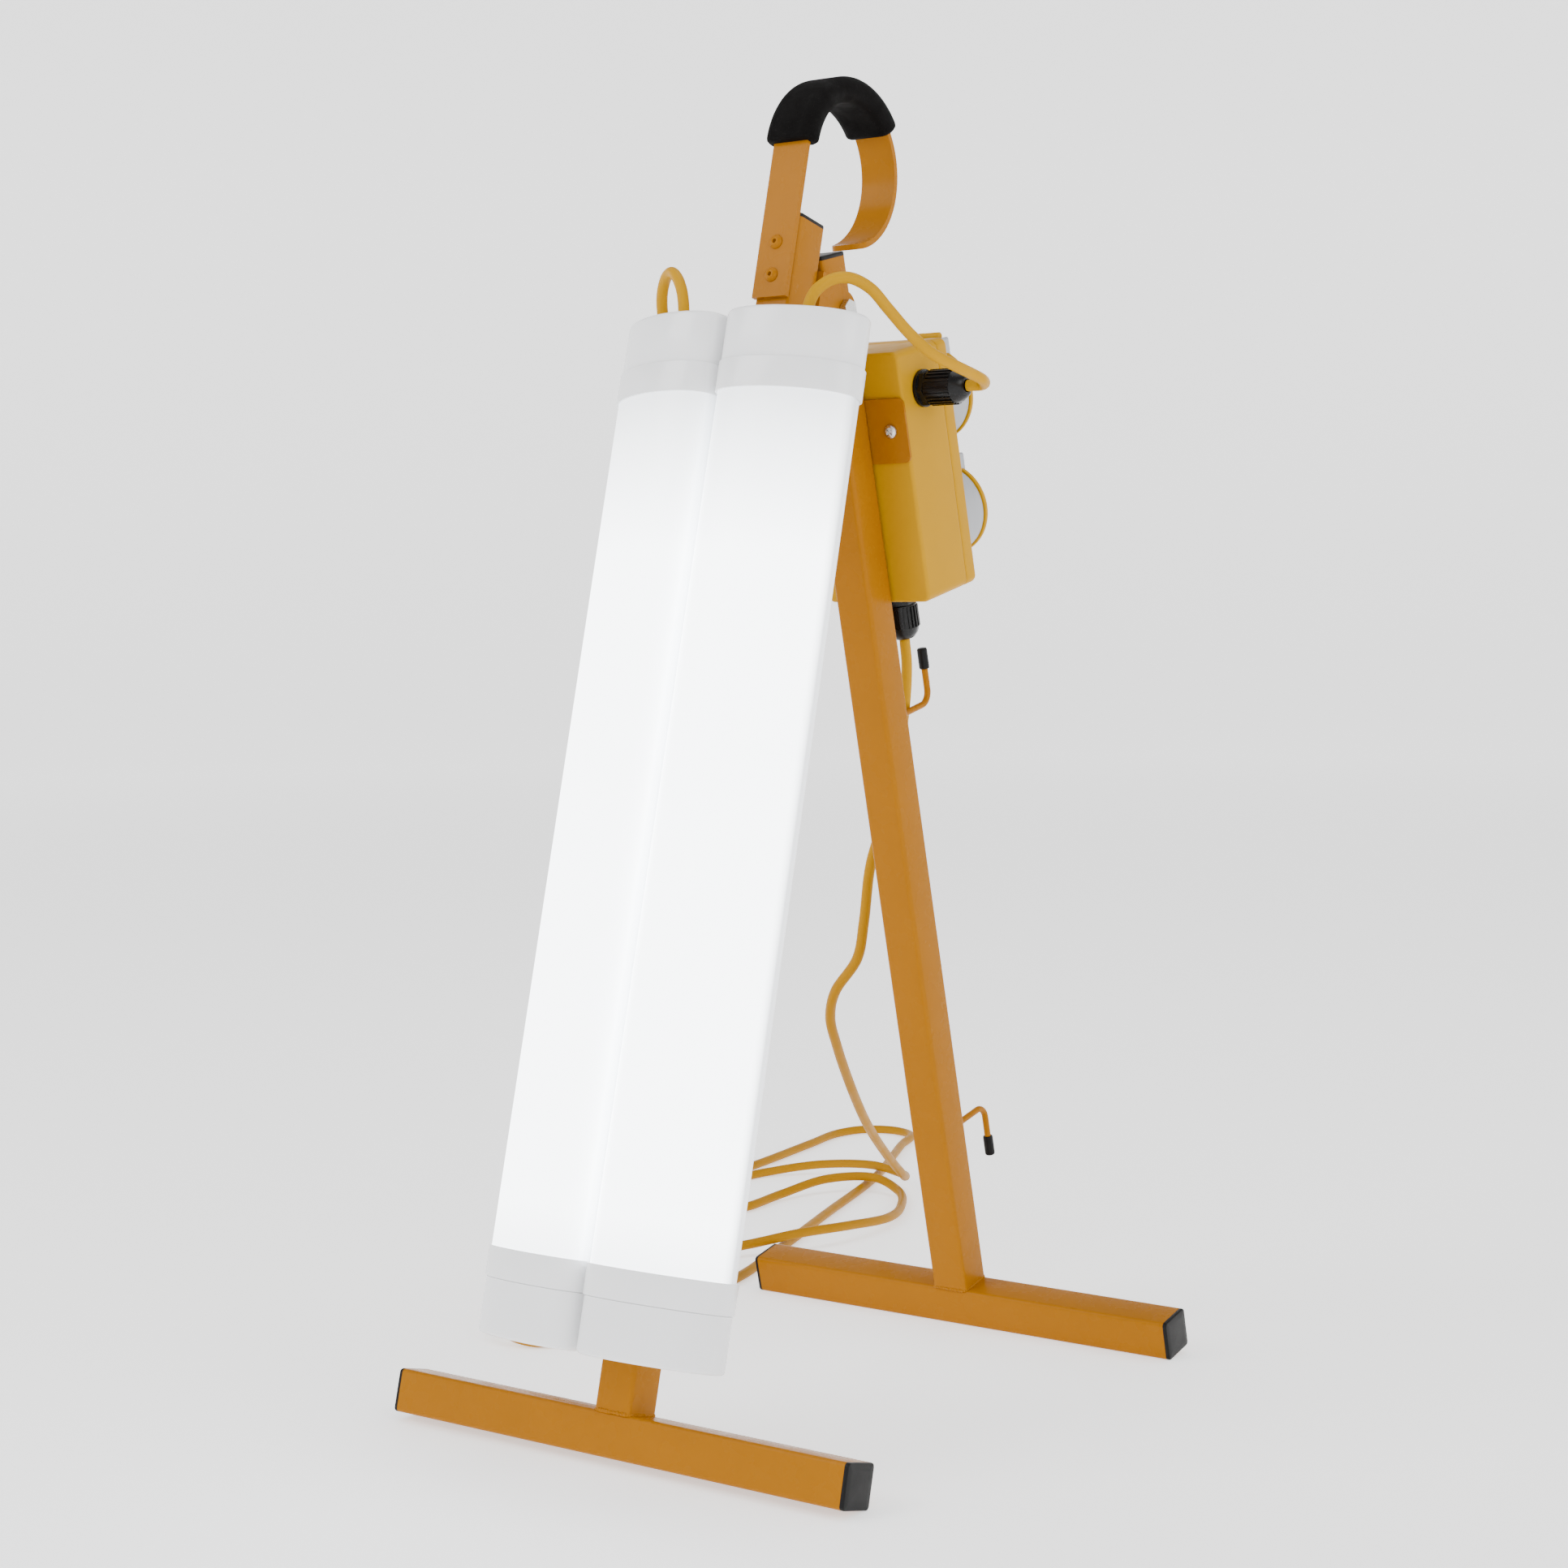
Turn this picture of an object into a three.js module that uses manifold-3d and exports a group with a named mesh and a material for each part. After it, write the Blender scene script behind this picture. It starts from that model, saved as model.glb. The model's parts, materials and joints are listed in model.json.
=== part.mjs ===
// Twin-lamp site work light on a folding steel A-frame, with a socket box and a mains lead.
// Units are millimetres, +Z is up, -Y is the side that the lamps face, and the floor is z = 0.
// The origin is on the floor under the middle of the light.
import * as THREE from "three";
import { mergeVertices } from "three/addons/utils/BufferGeometryUtils.js";
import Module from "manifold-3d";

const wasm = await Module();
wasm.setup();

// ---- Driving dimensions ------------------------------------------------------------------
const GAP = 0.3; // between pieces that touch
const DEG = Math.PI / 180;

const TUBE = 30; // square steel tube of both T-shaped legs
const WALL = 1.5;
const TUBE_CORNER = 3;
const HALF = TUBE / 2;
const CAP_FLANGE = 2.5; // plastic end caps
const CAP_PLUG = 12;

const FRONT_TILT = 15 * DEG;
const REAR_TILT = 12.6 * DEG;
const FRONT_LEG_TOP = 844; // along the leg, from the middle of its foot
const REAR_LEG_TOP = 813;
const FRONT_FOOT_LENGTH = 378;
const REAR_FOOT_LENGTH = 374;
const FRONT_FOOT_Y = -204.4;

const PIVOT_BACK = 46.8; // pivot behind the front leg's middle
const PIVOT_UP = 796; // pivot along the front leg
const BOLT_RADIUS = 4;

const STRAP = { width: 29, thick: 4, bottom: 784.5, radius: 55.3, centre: 899, tip: -67.5 * DEG };
const GRIP = { width: 38, out: 6.2, start: 898, end: 49 * DEG };
const RIVET_UP = [800.5, 824.5];

const LAMP = { across: 51.3, ahead: 48.5, yaw: 16.2 * DEG, halfWidth: 50, front: 23.5, back: 20 };
const LAMP_UP = { bottom: 53.4, lowerStep: 91, lowerRim: 112, upperRim: 700.4, upperStep: 722, top: 758 };
const LAMP_WALL = 2;
const COLLAR_GROW = 1.8; // collar outside the diffuser
const CUP_GROW = 0.6; // cup outside the diffuser
const CAP_LEDGE = 2; // between cup and diffuser
const BRACKET_UP = [165, 645];
const BRACKET_HEIGHT = 30;
const SHEET = 2;

const BOX = { width: 91, bottom: 557, top: 741, front: 17.6, split: 71, back: 84.6, wall: 3 };
const PLATE = { width: 94, bottom: 661, top: 708, front: 15.3 };
const SOCKET_UP = [605, 693];
const SOCKET = { flangeWidth: 68, flangeHeight: 80, flange: 4, radius: 31, rim: 34, depth: 39, mouth: 27 };
const SOCKET_LID = { radius: 35.5, thick: 4.5, hinge: 43 };
const GLAND = { out: 38.5, radius: 13.8, hex: 7, nut: 12.6, bore: 4.6 };
const BOTTOM_GLAND_OUT = 34; // its nut is shorter
const GLAND_BACK = 45;
const SIDE_GLAND_UP = 710;

const LEAD_RADIUS = 4.1;
const LEAD_SIDES = 10; // flats of a lead's plain solid
const FLOOR_Z = LEAD_RADIUS + 0.5; // middle of a lead that lies on the floor
const COIL = { x: -270, y: 109, inner: 31, outer: 61, top: 17.4 };
const LAYER_END_X = COIL.x + 56.4; // where the lead runs into and out of the coil
const PLUG = { x: -284, y: 47, z: 41.8, length: 128 }; // its tail end, on the coil

// ---- Where the two frames stand ----------------------------------------------------------
const cosFront = Math.cos(FRONT_TILT);
const sinFront = Math.sin(FRONT_TILT);
const cosRear = Math.cos(REAR_TILT);
const sinRear = Math.sin(REAR_TILT);
// Each foot stands on one rounded bottom edge: the front foot on its rear one.
const footHeight = (tilt) => (HALF - TUBE_CORNER) * (Math.sin(tilt) + Math.cos(tilt)) + TUBE_CORNER;
const FRONT_FOOT_Z = footHeight(FRONT_TILT);
const REAR_FOOT_Z = footHeight(REAR_TILT);
const pivotY = FRONT_FOOT_Y + PIVOT_BACK * cosFront + PIVOT_UP * sinFront;
const pivotZ = FRONT_FOOT_Z - PIVOT_BACK * sinFront + PIVOT_UP * cosFront;
const PIVOT_REAR_UP = (pivotZ - REAR_FOOT_Z) / cosRear;
const REAR_FOOT_Y = pivotY + PIVOT_REAR_UP * sinRear;

// A place in the light from a place on the front frame, or on the rear frame.
const onFront = (x, y, up) => [
  x,
  FRONT_FOOT_Y + y * cosFront + up * sinFront,
  FRONT_FOOT_Z - y * sinFront + up * cosFront,
];
const onRear = (x, y, up) => [
  x,
  REAR_FOOT_Y + y * cosRear - up * sinRear,
  REAR_FOOT_Z + y * sinRear + up * cosRear,
];

// ---- Materials ---------------------------------------------------------------------------
const finish = (color, roughness, metalness = 0) =>
  new THREE.MeshStandardMaterial({ color, roughness, metalness });
const amberPaint = finish(0xd8901c, 0.35, 0.1);
const yellowPlastic = finish(0xe0ac1a, 0.45);
const whitePlastic = finish(0xdfe1e2, 0.35);
const opal = new THREE.MeshStandardMaterial({ color: 0xf6faff, emissive: 0xf2f8ff, roughness: 0.3 });
const blackPlastic = finish(0x1c1a1a, 0.5);
const foam = finish(0x242224, 0.9);
const greyPlastic = finish(0xc4c6c8, 0.45);
const zincSteel = finish(0xb9bcc0, 0.3, 0.9);
const bareAluminium = finish(0xb4b8bc, 0.4, 0.8);
const leadSheath = finish(0xdda81c, 0.5);

// ---- Geometry helpers --------------------------------------------------------------------
function solidOf(geometry) {
  const bare = geometry.clone();
  bare.deleteAttribute("normal");
  bare.deleteAttribute("uv");
  const merged = mergeVertices(bare, 1e-4);
  return new wasm.Manifold(
    new wasm.Mesh({
      numProp: 3,
      vertProperties: merged.attributes.position.array,
      triVerts: new Uint32Array(merged.index.array),
    }),
  );
}

function geometryOf(solid) {
  const mesh = solid.getMesh();
  const geometry = new THREE.BufferGeometry();
  geometry.setAttribute("position", new THREE.BufferAttribute(mesh.vertProperties, 3));
  geometry.setIndex(new THREE.BufferAttribute(mesh.triVerts, 1));
  return geometry;
}

const cut = (base, ...tools) =>
  geometryOf(tools.reduce((left, tool) => left.subtract(solidOf(tool)), solidOf(base)));
const join = (base, ...others) =>
  geometryOf(others.reduce((whole, other) => whole.add(solidOf(other)), solidOf(base)));

function block(width, depth, height, x = 0, y = 0, z = 0) {
  return new THREE.BoxGeometry(width, depth, height).translate(x, y, z);
}

function rod(radius, length, segments = 24) {
  return new THREE.CylinderGeometry(radius, radius, length, segments).rotateX(90 * DEG);
}

// The same rod laid along Y.
const crossRod = (radius, length, segments = 24) => rod(radius, length, segments).rotateX(90 * DEG);

// A hexagonal bar along Z, sized by the circle through its corners.
const hexBar = (radius, length) => rod(radius, length, 6);

// A closed solid of revolution about Z from [radius, height] pairs that start and end on the axis.
function turned(profile, segments = 24) {
  const points = profile.map(([r, h]) => new THREE.Vector2(r, h));
  return new THREE.LatheGeometry(points, segments).rotateX(90 * DEG);
}

function roundedRect(width, height, radius, asHole = false) {
  const path = asHole ? new THREE.Path() : new THREE.Shape();
  const x = width / 2;
  const y = height / 2;
  path.moveTo(-x + radius, -y);
  path.lineTo(x - radius, -y);
  path.absarc(x - radius, -y + radius, radius, -90 * DEG, 0);
  path.lineTo(x, y - radius);
  path.absarc(x - radius, y - radius, radius, 0, 90 * DEG);
  path.lineTo(-x + radius, y);
  path.absarc(-x + radius, y - radius, radius, 90 * DEG, 180 * DEG);
  path.lineTo(-x, -y + radius);
  path.absarc(-x + radius, -y + radius, radius, 180 * DEG, 270 * DEG);
  return path;
}

function extrude(shape, depth, curveSegments = 3, bevel = 0) {
  return new THREE.ExtrudeGeometry(shape, {
    depth: depth - 2 * bevel,
    curveSegments,
    bevelEnabled: bevel > 0,
    bevelThickness: bevel,
    bevelSize: bevel,
    bevelOffset: -bevel,
    bevelSegments: 1,
  }).translate(0, 0, bevel);
}

// Turns a geometry made in X and Y and extruded along Z so that the outline lies in Y and Z
// and the depth runs along +X, centred on x = 0.
function acrossX(geometry, depth) {
  const turn = new THREE.Matrix4().makeBasis(
    new THREE.Vector3(0, 1, 0),
    new THREE.Vector3(0, 0, 1),
    new THREE.Vector3(1, 0, 0),
  );
  return geometry.applyMatrix4(turn).translate(-depth / 2, 0, 0);
}

// The same for an outline in X and Z whose depth ends at the front face y and starts at y + depth.
function alongY(geometry, y, depth) {
  const turn = new THREE.Matrix4().makeBasis(
    new THREE.Vector3(1, 0, 0),
    new THREE.Vector3(0, 0, 1),
    new THREE.Vector3(0, -1, 0),
  );
  return geometry.applyMatrix4(turn).translate(0, y + depth, 0);
}

function mesh(name, geometry, material) {
  const piece = new THREE.Mesh(geometry, material);
  piece.name = name;
  return piece;
}

function group(...children) {
  const holder = new THREE.Group();
  holder.add(...children);
  return holder;
}

// ---- Steel frame -------------------------------------------------------------------------
function squareTube(length) {
  const shape = roundedRect(TUBE, TUBE, TUBE_CORNER);
  const inside = TUBE - 2 * WALL;
  shape.holes.push(roundedRect(inside, inside, TUBE_CORNER - WALL, true));
  return extrude(shape, length);
}

// An end cap with its flange on z = 0 to CAP_FLANGE and its plug below.
function endCap(name) {
  const flange = extrude(roundedRect(TUBE, TUBE, TUBE_CORNER), CAP_FLANGE, 2, 0.8);
  const width = TUBE - 2 * WALL - 2 * GAP;
  const plug = extrude(roundedRect(width, width, 1), CAP_PLUG, 1).translate(0, 0, -CAP_PLUG + 0.5);
  return mesh(name, join(flange, plug), blackPlastic);
}

function footTube(name, length) {
  const foot = mesh(name, squareTube(length).translate(0, 0, -length / 2), amberPaint);
  foot.rotation.y = 90 * DEG;
  return foot;
}

function footCaps(prefix, length) {
  return [-1, 1].map((side) => {
    const cap = endCap(`${prefix}_cap_${side < 0 ? "left" : "right"}`);
    cap.rotation.y = side * 90 * DEG;
    cap.position.x = side * (length / 2 + GAP);
    return cap;
  });
}

function legCap(name, top) {
  const cap = endCap(name);
  cap.position.z = top + GAP;
  return cap;
}

function frontLeg() {
  const bottom = HALF + GAP;
  const tube = squareTube(FRONT_LEG_TOP - bottom).translate(0, 0, bottom);
  const rivetHoles = RIVET_UP.map((up) => crossRod(2.8, 8, 12).translate(0, -HALF, up));
  return mesh("front_leg", cut(tube, ...rivetHoles), amberPaint);
}

function rearLeg() {
  const bottom = HALF + GAP;
  const tube = squareTube(REAR_LEG_TOP - bottom).translate(0, 0, bottom);
  const boltHole = rod(BOLT_RADIUS + 0.15, TUBE + 4).rotateY(90 * DEG).translate(0, 0, PIVOT_REAR_UP);
  return mesh("rear_leg", cut(tube, boltHole), amberPaint);
}

// ---- Hanging hook ------------------------------------------------------------------------
const STRAP_FRONT = -(HALF + GAP + STRAP.thick / 2); // middle of the strap's thickness
const HOOK_BACK = STRAP_FRONT + STRAP.radius; // middle of the hook's curve

// The outline of a band in Y and Z: straight up from z = bottom, then over the hook's arc.
function hookBand(bottom, inner, outer, end) {
  const shape = new THREE.Shape();
  shape.moveTo(HOOK_BACK - outer, bottom);
  shape.lineTo(HOOK_BACK - inner, bottom);
  shape.absarc(HOOK_BACK, STRAP.centre, inner, 180 * DEG, end, true);
  shape.absarc(HOOK_BACK, STRAP.centre, outer, end, 180 * DEG, false);
  return shape;
}

// The waste outside the rounded corners of the strap's free end.
function tipWaste() {
  const radius = 10;
  const side = STRAP.width / 2;
  return [-1, 1].map((hand) => {
    const shape = new THREE.Shape();
    shape.moveTo(side - radius, 0);
    shape.absarc(side - radius, -radius, radius, 90 * DEG, 0, true);
    shape.lineTo(side + 1, -radius);
    shape.lineTo(side + 1, 1);
    shape.lineTo(side - radius, 1);
    const waste = extrude(shape, 20, 4).translate(0, 0, -10);
    if (hand < 0) waste.rotateY(180 * DEG);
    waste.translate(0, 0, STRAP.radius).rotateX(STRAP.tip - 90 * DEG);
    return waste.translate(0, HOOK_BACK, STRAP.centre);
  });
}

function hookStrap() {
  const half = STRAP.thick / 2;
  const outline = hookBand(STRAP.bottom, STRAP.radius - half, STRAP.radius + half, STRAP.tip);
  const band = acrossX(extrude(outline, STRAP.width, 24), STRAP.width);
  const holes = RIVET_UP.map((up) => crossRod(2.8, 12, 12).translate(0, STRAP_FRONT, up));
  return mesh("hook_strap", cut(band, ...holes, ...tipWaste()), amberPaint);
}

// The hook's middle line in Y and Z, from a height on the leg to an angle on the curve.
function hookLine(start, end) {
  const line = new THREE.CurvePath();
  const foot = new THREE.Vector3(0, STRAP_FRONT, start);
  const shoulder = new THREE.Vector3(0, STRAP_FRONT, STRAP.centre);
  line.add(new THREE.LineCurve3(foot, shoulder));
  const steps = 20;
  let last = shoulder;
  for (let i = 1; i <= steps; i += 1) {
    const angle = 180 * DEG + (i / steps) * (end - 180 * DEG);
    const y = HOOK_BACK + STRAP.radius * Math.cos(angle);
    const next = new THREE.Vector3(0, y, STRAP.centre + STRAP.radius * Math.sin(angle));
    line.add(new THREE.LineCurve3(last, next));
    last = next;
  }
  return line;
}

function hookGrip() {
  const half = STRAP.thick / 2 + GAP;
  const section = roundedRect(STRAP.thick + 2 * GRIP.out, GRIP.width, 7);
  const sleeve = new THREE.ExtrudeGeometry(section, {
    steps: 16,
    curveSegments: 2,
    extrudePath: hookLine(GRIP.start, GRIP.end),
  });
  const slotOutline = hookBand(
    GRIP.start - 5,
    STRAP.radius - half,
    STRAP.radius + half,
    GRIP.end - 10 * DEG,
  );
  const slotWidth = STRAP.width + 2 * GAP;
  const slot = acrossX(extrude(slotOutline, slotWidth, 24), slotWidth);
  return mesh("hook_grip", cut(sleeve, slot), foam);
}

// A domed blind rivet through the strap and the leg's front wall.
function hookRivet(name, up) {
  const shank = 2.4;
  const reach = STRAP.thick + WALL + 2 * GAP + 2;
  const profile = [
    [0, -reach],
    [shank, -reach],
    [shank, 0],
    [5, 0],
    [4.6, 1.1],
    [3.2, 2.1],
    [1.5, 2.5],
    [1.5, 0.8],
    [0, 0.8],
  ];
  const rivet = mesh(name, turned(profile, 16), amberPaint);
  rivet.rotation.x = 90 * DEG;
  rivet.position.set(0, STRAP_FRONT - STRAP.thick / 2 - GAP, up);
  return rivet;
}

// ---- Fold hinge --------------------------------------------------------------------------
const EAR_INNER = HALF + 0.6;
const EAR_THICK = 3;

// A U-shaped bracket on the back of the front leg, with an ear on each side of the rear leg.
function hingeBracket() {
  const earRadius = 14;
  const base = HALF + GAP;
  const halfHeight = 18;
  const ear = new THREE.Shape();
  ear.moveTo(base, PIVOT_UP - halfHeight);
  ear.lineTo(PIVOT_BACK, PIVOT_UP - earRadius);
  ear.absarc(PIVOT_BACK, PIVOT_UP, earRadius, -90 * DEG, 90 * DEG);
  ear.lineTo(base, PIVOT_UP + halfHeight);
  const width = 2 * (EAR_INNER + EAR_THICK);
  const whole = acrossX(extrude(ear, width, 16), width);
  const between = block(
    2 * EAR_INNER,
    100,
    4 * halfHeight,
    0,
    base + EAR_THICK + 50,
    PIVOT_UP,
  );
  const hole = rod(BOLT_RADIUS + GAP, width + 10).rotateY(90 * DEG);
  return mesh(
    "hinge_bracket",
    cut(whole, between, hole.translate(0, PIVOT_BACK, PIVOT_UP)),
    amberPaint,
  );
}

function hingeBolt() {
  const reach = EAR_INNER + EAR_THICK + GAP;
  const shank = rod(BOLT_RADIUS, 2 * reach + 9).translate(0, 0, -4.5);
  const head = hexBar(7.5, 5.3).translate(0, 0, reach + 2.65);
  const bolt = mesh("hinge_bolt", join(shank, head), zincSteel);
  bolt.rotation.y = 90 * DEG;
  bolt.position.set(0, PIVOT_BACK, PIVOT_UP);
  return bolt;
}

function hingeNut() {
  const height = 7;
  const reach = EAR_INNER + EAR_THICK + GAP;
  const nut = cut(hexBar(7.5, height), rod(BOLT_RADIUS + GAP, height + 4));
  const piece = mesh("hinge_nut", nut, zincSteel);
  piece.rotation.y = 90 * DEG;
  piece.position.set(-reach - height / 2, PIVOT_BACK, PIVOT_UP);
  return piece;
}

// ---- Lamps -------------------------------------------------------------------------------
// The lamp's flattened oval section, grown outwards: an ellipse in front and a flatter back.
function lampSection(grow, asHole = false) {
  const path = asHole ? new THREE.Path() : new THREE.Shape();
  const steps = 32;
  const width = LAMP.halfWidth + grow;
  for (let i = 0; i < steps; i += 1) {
    const angle = (i / steps) * 360 * DEG;
    const x = Math.cos(angle);
    const y = Math.sin(angle);
    const flatter = (1 - Math.abs(x) ** 3) ** (1 / 3);
    const depth = y < 0 ? y * (LAMP.front + grow) : flatter * (LAMP.back + grow);
    if (i === 0) path.moveTo(x * width, depth);
    else path.lineTo(x * width, depth);
  }
  path.closePath();
  return path;
}

const lampSlab = (grow, from, to, bevel = 0) =>
  extrude(lampSection(grow), to - from, 1, bevel).translate(0, 0, from);

// A hollow cap: a cup over the lamp's end and a collar round the end of the diffuser.
// It is made for the lamp's top, with z = 0 at its outer end and the lamp below.
function capGeometry(cupDepth, depth) {
  const outer = join(
    lampSlab(CUP_GROW, -depth, 0, 2),
    lampSlab(COLLAR_GROW, -depth, -cupDepth),
  );
  const cupInside = lampSlab(CUP_GROW - LAMP_WALL, -depth - 1, -3);
  const collarInside = lampSlab(GAP, -depth - 1, -cupDepth - CAP_LEDGE);
  return cut(outer, cupInside, collarInside);
}

const LEAD_HOLE = new THREE.Vector2(4, 5); // lead entry from the middle of the cap's end

function upperCap(side) {
  const up = LAMP_UP;
  const shell = capGeometry(up.top - up.upperStep, up.top - up.upperRim);
  const hole = rod(LEAD_RADIUS + 0.5, 12, 16).translate(side * LEAD_HOLE.x, LEAD_HOLE.y, 0);
  return cut(shell, hole).translate(0, 0, up.top);
}

function lowerCap() {
  const up = LAMP_UP;
  const shell = capGeometry(up.lowerStep - up.bottom, up.lowerRim - up.bottom);
  return shell.rotateY(180 * DEG).translate(0, 0, up.bottom);
}

function diffuser() {
  const shape = lampSection(0);
  shape.holes.push(lampSection(-LAMP_WALL, true));
  const from = LAMP_UP.lowerStep + CAP_LEDGE + GAP;
  const to = LAMP_UP.upperStep - CAP_LEDGE - GAP;
  return extrude(shape, to - from, 1).translate(0, 0, from);
}

// A flat aluminium extrusion that carries the light strips, with a stiffening rib behind.
function lightCarrier() {
  const from = LAMP_UP.bottom + 6;
  const length = LAMP_UP.top - 24 - from;
  const middle = from + length / 2;
  return join(block(76, 2, length, 0, 6, middle), block(30, 6, length, 0, 9, middle));
}

function lamp(side) {
  const label = side < 0 ? "left" : "right";
  const whole = group(
    mesh(`lamp_${label}_upper_cap`, upperCap(side), whitePlastic),
    mesh(`lamp_${label}_lower_cap`, lowerCap(), whitePlastic),
    mesh(`lamp_${label}_diffuser`, diffuser(), opal),
    mesh(`lamp_${label}_carrier`, lightCarrier(), bareAluminium),
  );
  whole.rotation.z = side * LAMP.yaw;
  whole.position.set(side * LAMP.across, -LAMP.ahead, 0);
  return whole;
}

// A point in the plan of the front leg from one in the plan of the right-hand lamp.
function fromLamp(x, y) {
  const point = new THREE.Vector2(x, y).rotateAround(new THREE.Vector2(), LAMP.yaw);
  return point.add(new THREE.Vector2(LAMP.across, -LAMP.ahead));
}

// A hat-shaped sheet bracket: a flat base on the leg and a wing behind each lamp.
function lampBracket(name, up) {
  const back = LAMP.back + GAP;
  const baseFront = -(HALF + GAP + SHEET);
  const right = [
    new THREE.Vector2(0, baseFront),
    new THREE.Vector2(11, baseFront),
    fromLamp(-30, back),
    fromLamp(26, back),
    fromLamp(26, back + SHEET),
    fromLamp(-27.5, back + SHEET),
    new THREE.Vector2(13, baseFront + SHEET),
    new THREE.Vector2(0, baseFront + SHEET),
  ];
  const front = right.slice(0, 4);
  const rear = right.slice(4);
  const mirror = (points) => points.map((p) => new THREE.Vector2(-p.x, p.y)).reverse();
  const outline = [...mirror(front).slice(0, 3), ...front, ...rear, ...mirror(rear).slice(1)];
  const shape = new THREE.Shape(outline);
  const geometry = extrude(shape, BRACKET_HEIGHT).translate(0, 0, up - BRACKET_HEIGHT / 2);
  return mesh(name, geometry, zincSteel);
}

// ---- Socket box --------------------------------------------------------------------------
const boxHeight = BOX.top - BOX.bottom;
const boxMiddle = (BOX.top + BOX.bottom) / 2;
const EDGE_ROUND = 3;
const PLATE_SCREW_X = 33.4;
const PLATE_SCREW_UP = 684.5;
const LID_SCREWS = [-1, 1].flatMap((x) =>
  [-1, 1].map((z) => [x * (BOX.width / 2 - 6), boxMiddle + z * (boxHeight / 2 - 6)]),
);

function boxShell(front, back, bevel) {
  const shape = roundedRect(BOX.width, boxHeight, 6);
  const solid = extrude(shape, back - front, 4, bevel);
  return alongY(solid, front, back - front).translate(0, 0, boxMiddle);
}

// A slab wider than the box, for trimming a half of it at its seam or its face.
const trimSlab = (y) => block(2 * BOX.width, 10, 2 * boxHeight, 0, y, boxMiddle);

function boxHollow(front, back) {
  const shape = roundedRect(BOX.width - 2 * BOX.wall, boxHeight - 2 * BOX.wall, 3);
  return alongY(extrude(shape, back - front), front, back - front).translate(0, 0, boxMiddle);
}

const plateScrewHoles = (y) =>
  [-1, 1].map((side) =>
    crossRod(2.6, 12, 12).translate(side * PLATE_SCREW_X, y, PLATE_SCREW_UP),
  );

function boxBody() {
  const blank = cut(boxShell(BOX.front, BOX.split + 4, EDGE_ROUND), trimSlab(BOX.split + 5));
  const hollow = boxHollow(BOX.front + BOX.wall, BOX.split + 1);
  const entry = GLAND.bore + 3; // clear of the glands' threads
  const sideHole = rod(entry, 140).rotateY(90 * DEG).translate(0, GLAND_BACK, SIDE_GLAND_UP);
  const bottomHole = rod(entry, 20).translate(0, GLAND_BACK, BOX.bottom);
  const holes = [sideHole, bottomHole, ...plateScrewHoles(BOX.front)];
  return mesh("box_body", cut(blank, hollow, ...holes), yellowPlastic);
}

function boxLid() {
  const blank = cut(boxShell(BOX.split - 4, BOX.back, EDGE_ROUND), trimSlab(BOX.split + GAP - 5));
  const hollow = boxHollow(BOX.split - 2, BOX.back - BOX.wall);
  const posts = LID_SCREWS.map(([x, z]) =>
    crossRod(5.5, BOX.back - BOX.split - 2, 12).translate(x, (BOX.back + BOX.split) / 2, z),
  );
  const shell = join(cut(blank, hollow), ...posts);
  const screwHoles = LID_SCREWS.map(([x, z]) => crossRod(2.5, 40, 8).translate(x, BOX.back, z));
  const socketHoles = SOCKET_UP.map((up) => crossRod(22, 20).translate(0, BOX.back, up));
  const trimmed = cut(shell, trimSlab(BOX.back + 5));
  return mesh("box_lid", cut(trimmed, ...screwHoles, ...socketHoles), yellowPlastic);
}

// A pan-head screw with a cross recess; its head stands on z = 0 and its shank goes down.
function panScrew(name, headRadius, shankRadius, shankLength) {
  const height = headRadius * 0.5;
  const profile = [
    [0, -shankLength],
    [shankRadius, -shankLength],
    [shankRadius, 0],
    [headRadius, 0],
    [headRadius * 0.94, height * 0.55],
    [headRadius * 0.6, height * 0.92],
    [0, height],
  ];
  const bar = headRadius * 1.1;
  const slots = [0, 90 * DEG].map((angle) =>
    block(bar, headRadius * 0.22, height, 0, 0, height).rotateZ(angle + 45 * DEG),
  );
  return mesh(name, cut(turned(profile, 14), ...slots), zincSteel);
}

function lidScrews() {
  return LID_SCREWS.map(([x, z], index) => {
    const screw = panScrew(`lid_screw_${index + 1}`, 3.6, 1.9, 10);
    screw.rotation.x = -90 * DEG;
    screw.position.set(x, BOX.back + GAP, z);
    return screw;
  });
}

function terminalBlock() {
  const terminals = 5;
  const pitch = 12;
  const front = BOX.front + BOX.wall + GAP;
  const up = 640;
  const body = block(terminals * pitch, 20, 16, 0, front + 10, up);
  const entries = Array.from({ length: terminals }, (_, i) =>
    rod(2.6, 30, 8).translate((i - (terminals - 1) / 2) * pitch, front + 8, up),
  );
  return mesh("terminal_block", cut(body, ...entries), whitePlastic);
}

function boxPlate() {
  const height = PLATE.top - PLATE.bottom;
  const shape = roundedRect(PLATE.width, height, 5);
  const plate = alongY(extrude(shape, SHEET, 6), PLATE.front, SHEET);
  plate.translate(0, 0, (PLATE.top + PLATE.bottom) / 2);
  return mesh("box_plate", cut(plate, ...plateScrewHoles(PLATE.front)), amberPaint);
}

function plateScrews() {
  return [-1, 1].map((side) => {
    const screw = panScrew(`plate_screw_${side < 0 ? "left" : "right"}`, 5.2, 2.2, 10);
    screw.rotation.x = 90 * DEG;
    screw.position.set(side * PLATE_SCREW_X, PLATE.front - GAP, PLATE_SCREW_UP);
    return screw;
  });
}

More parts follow.
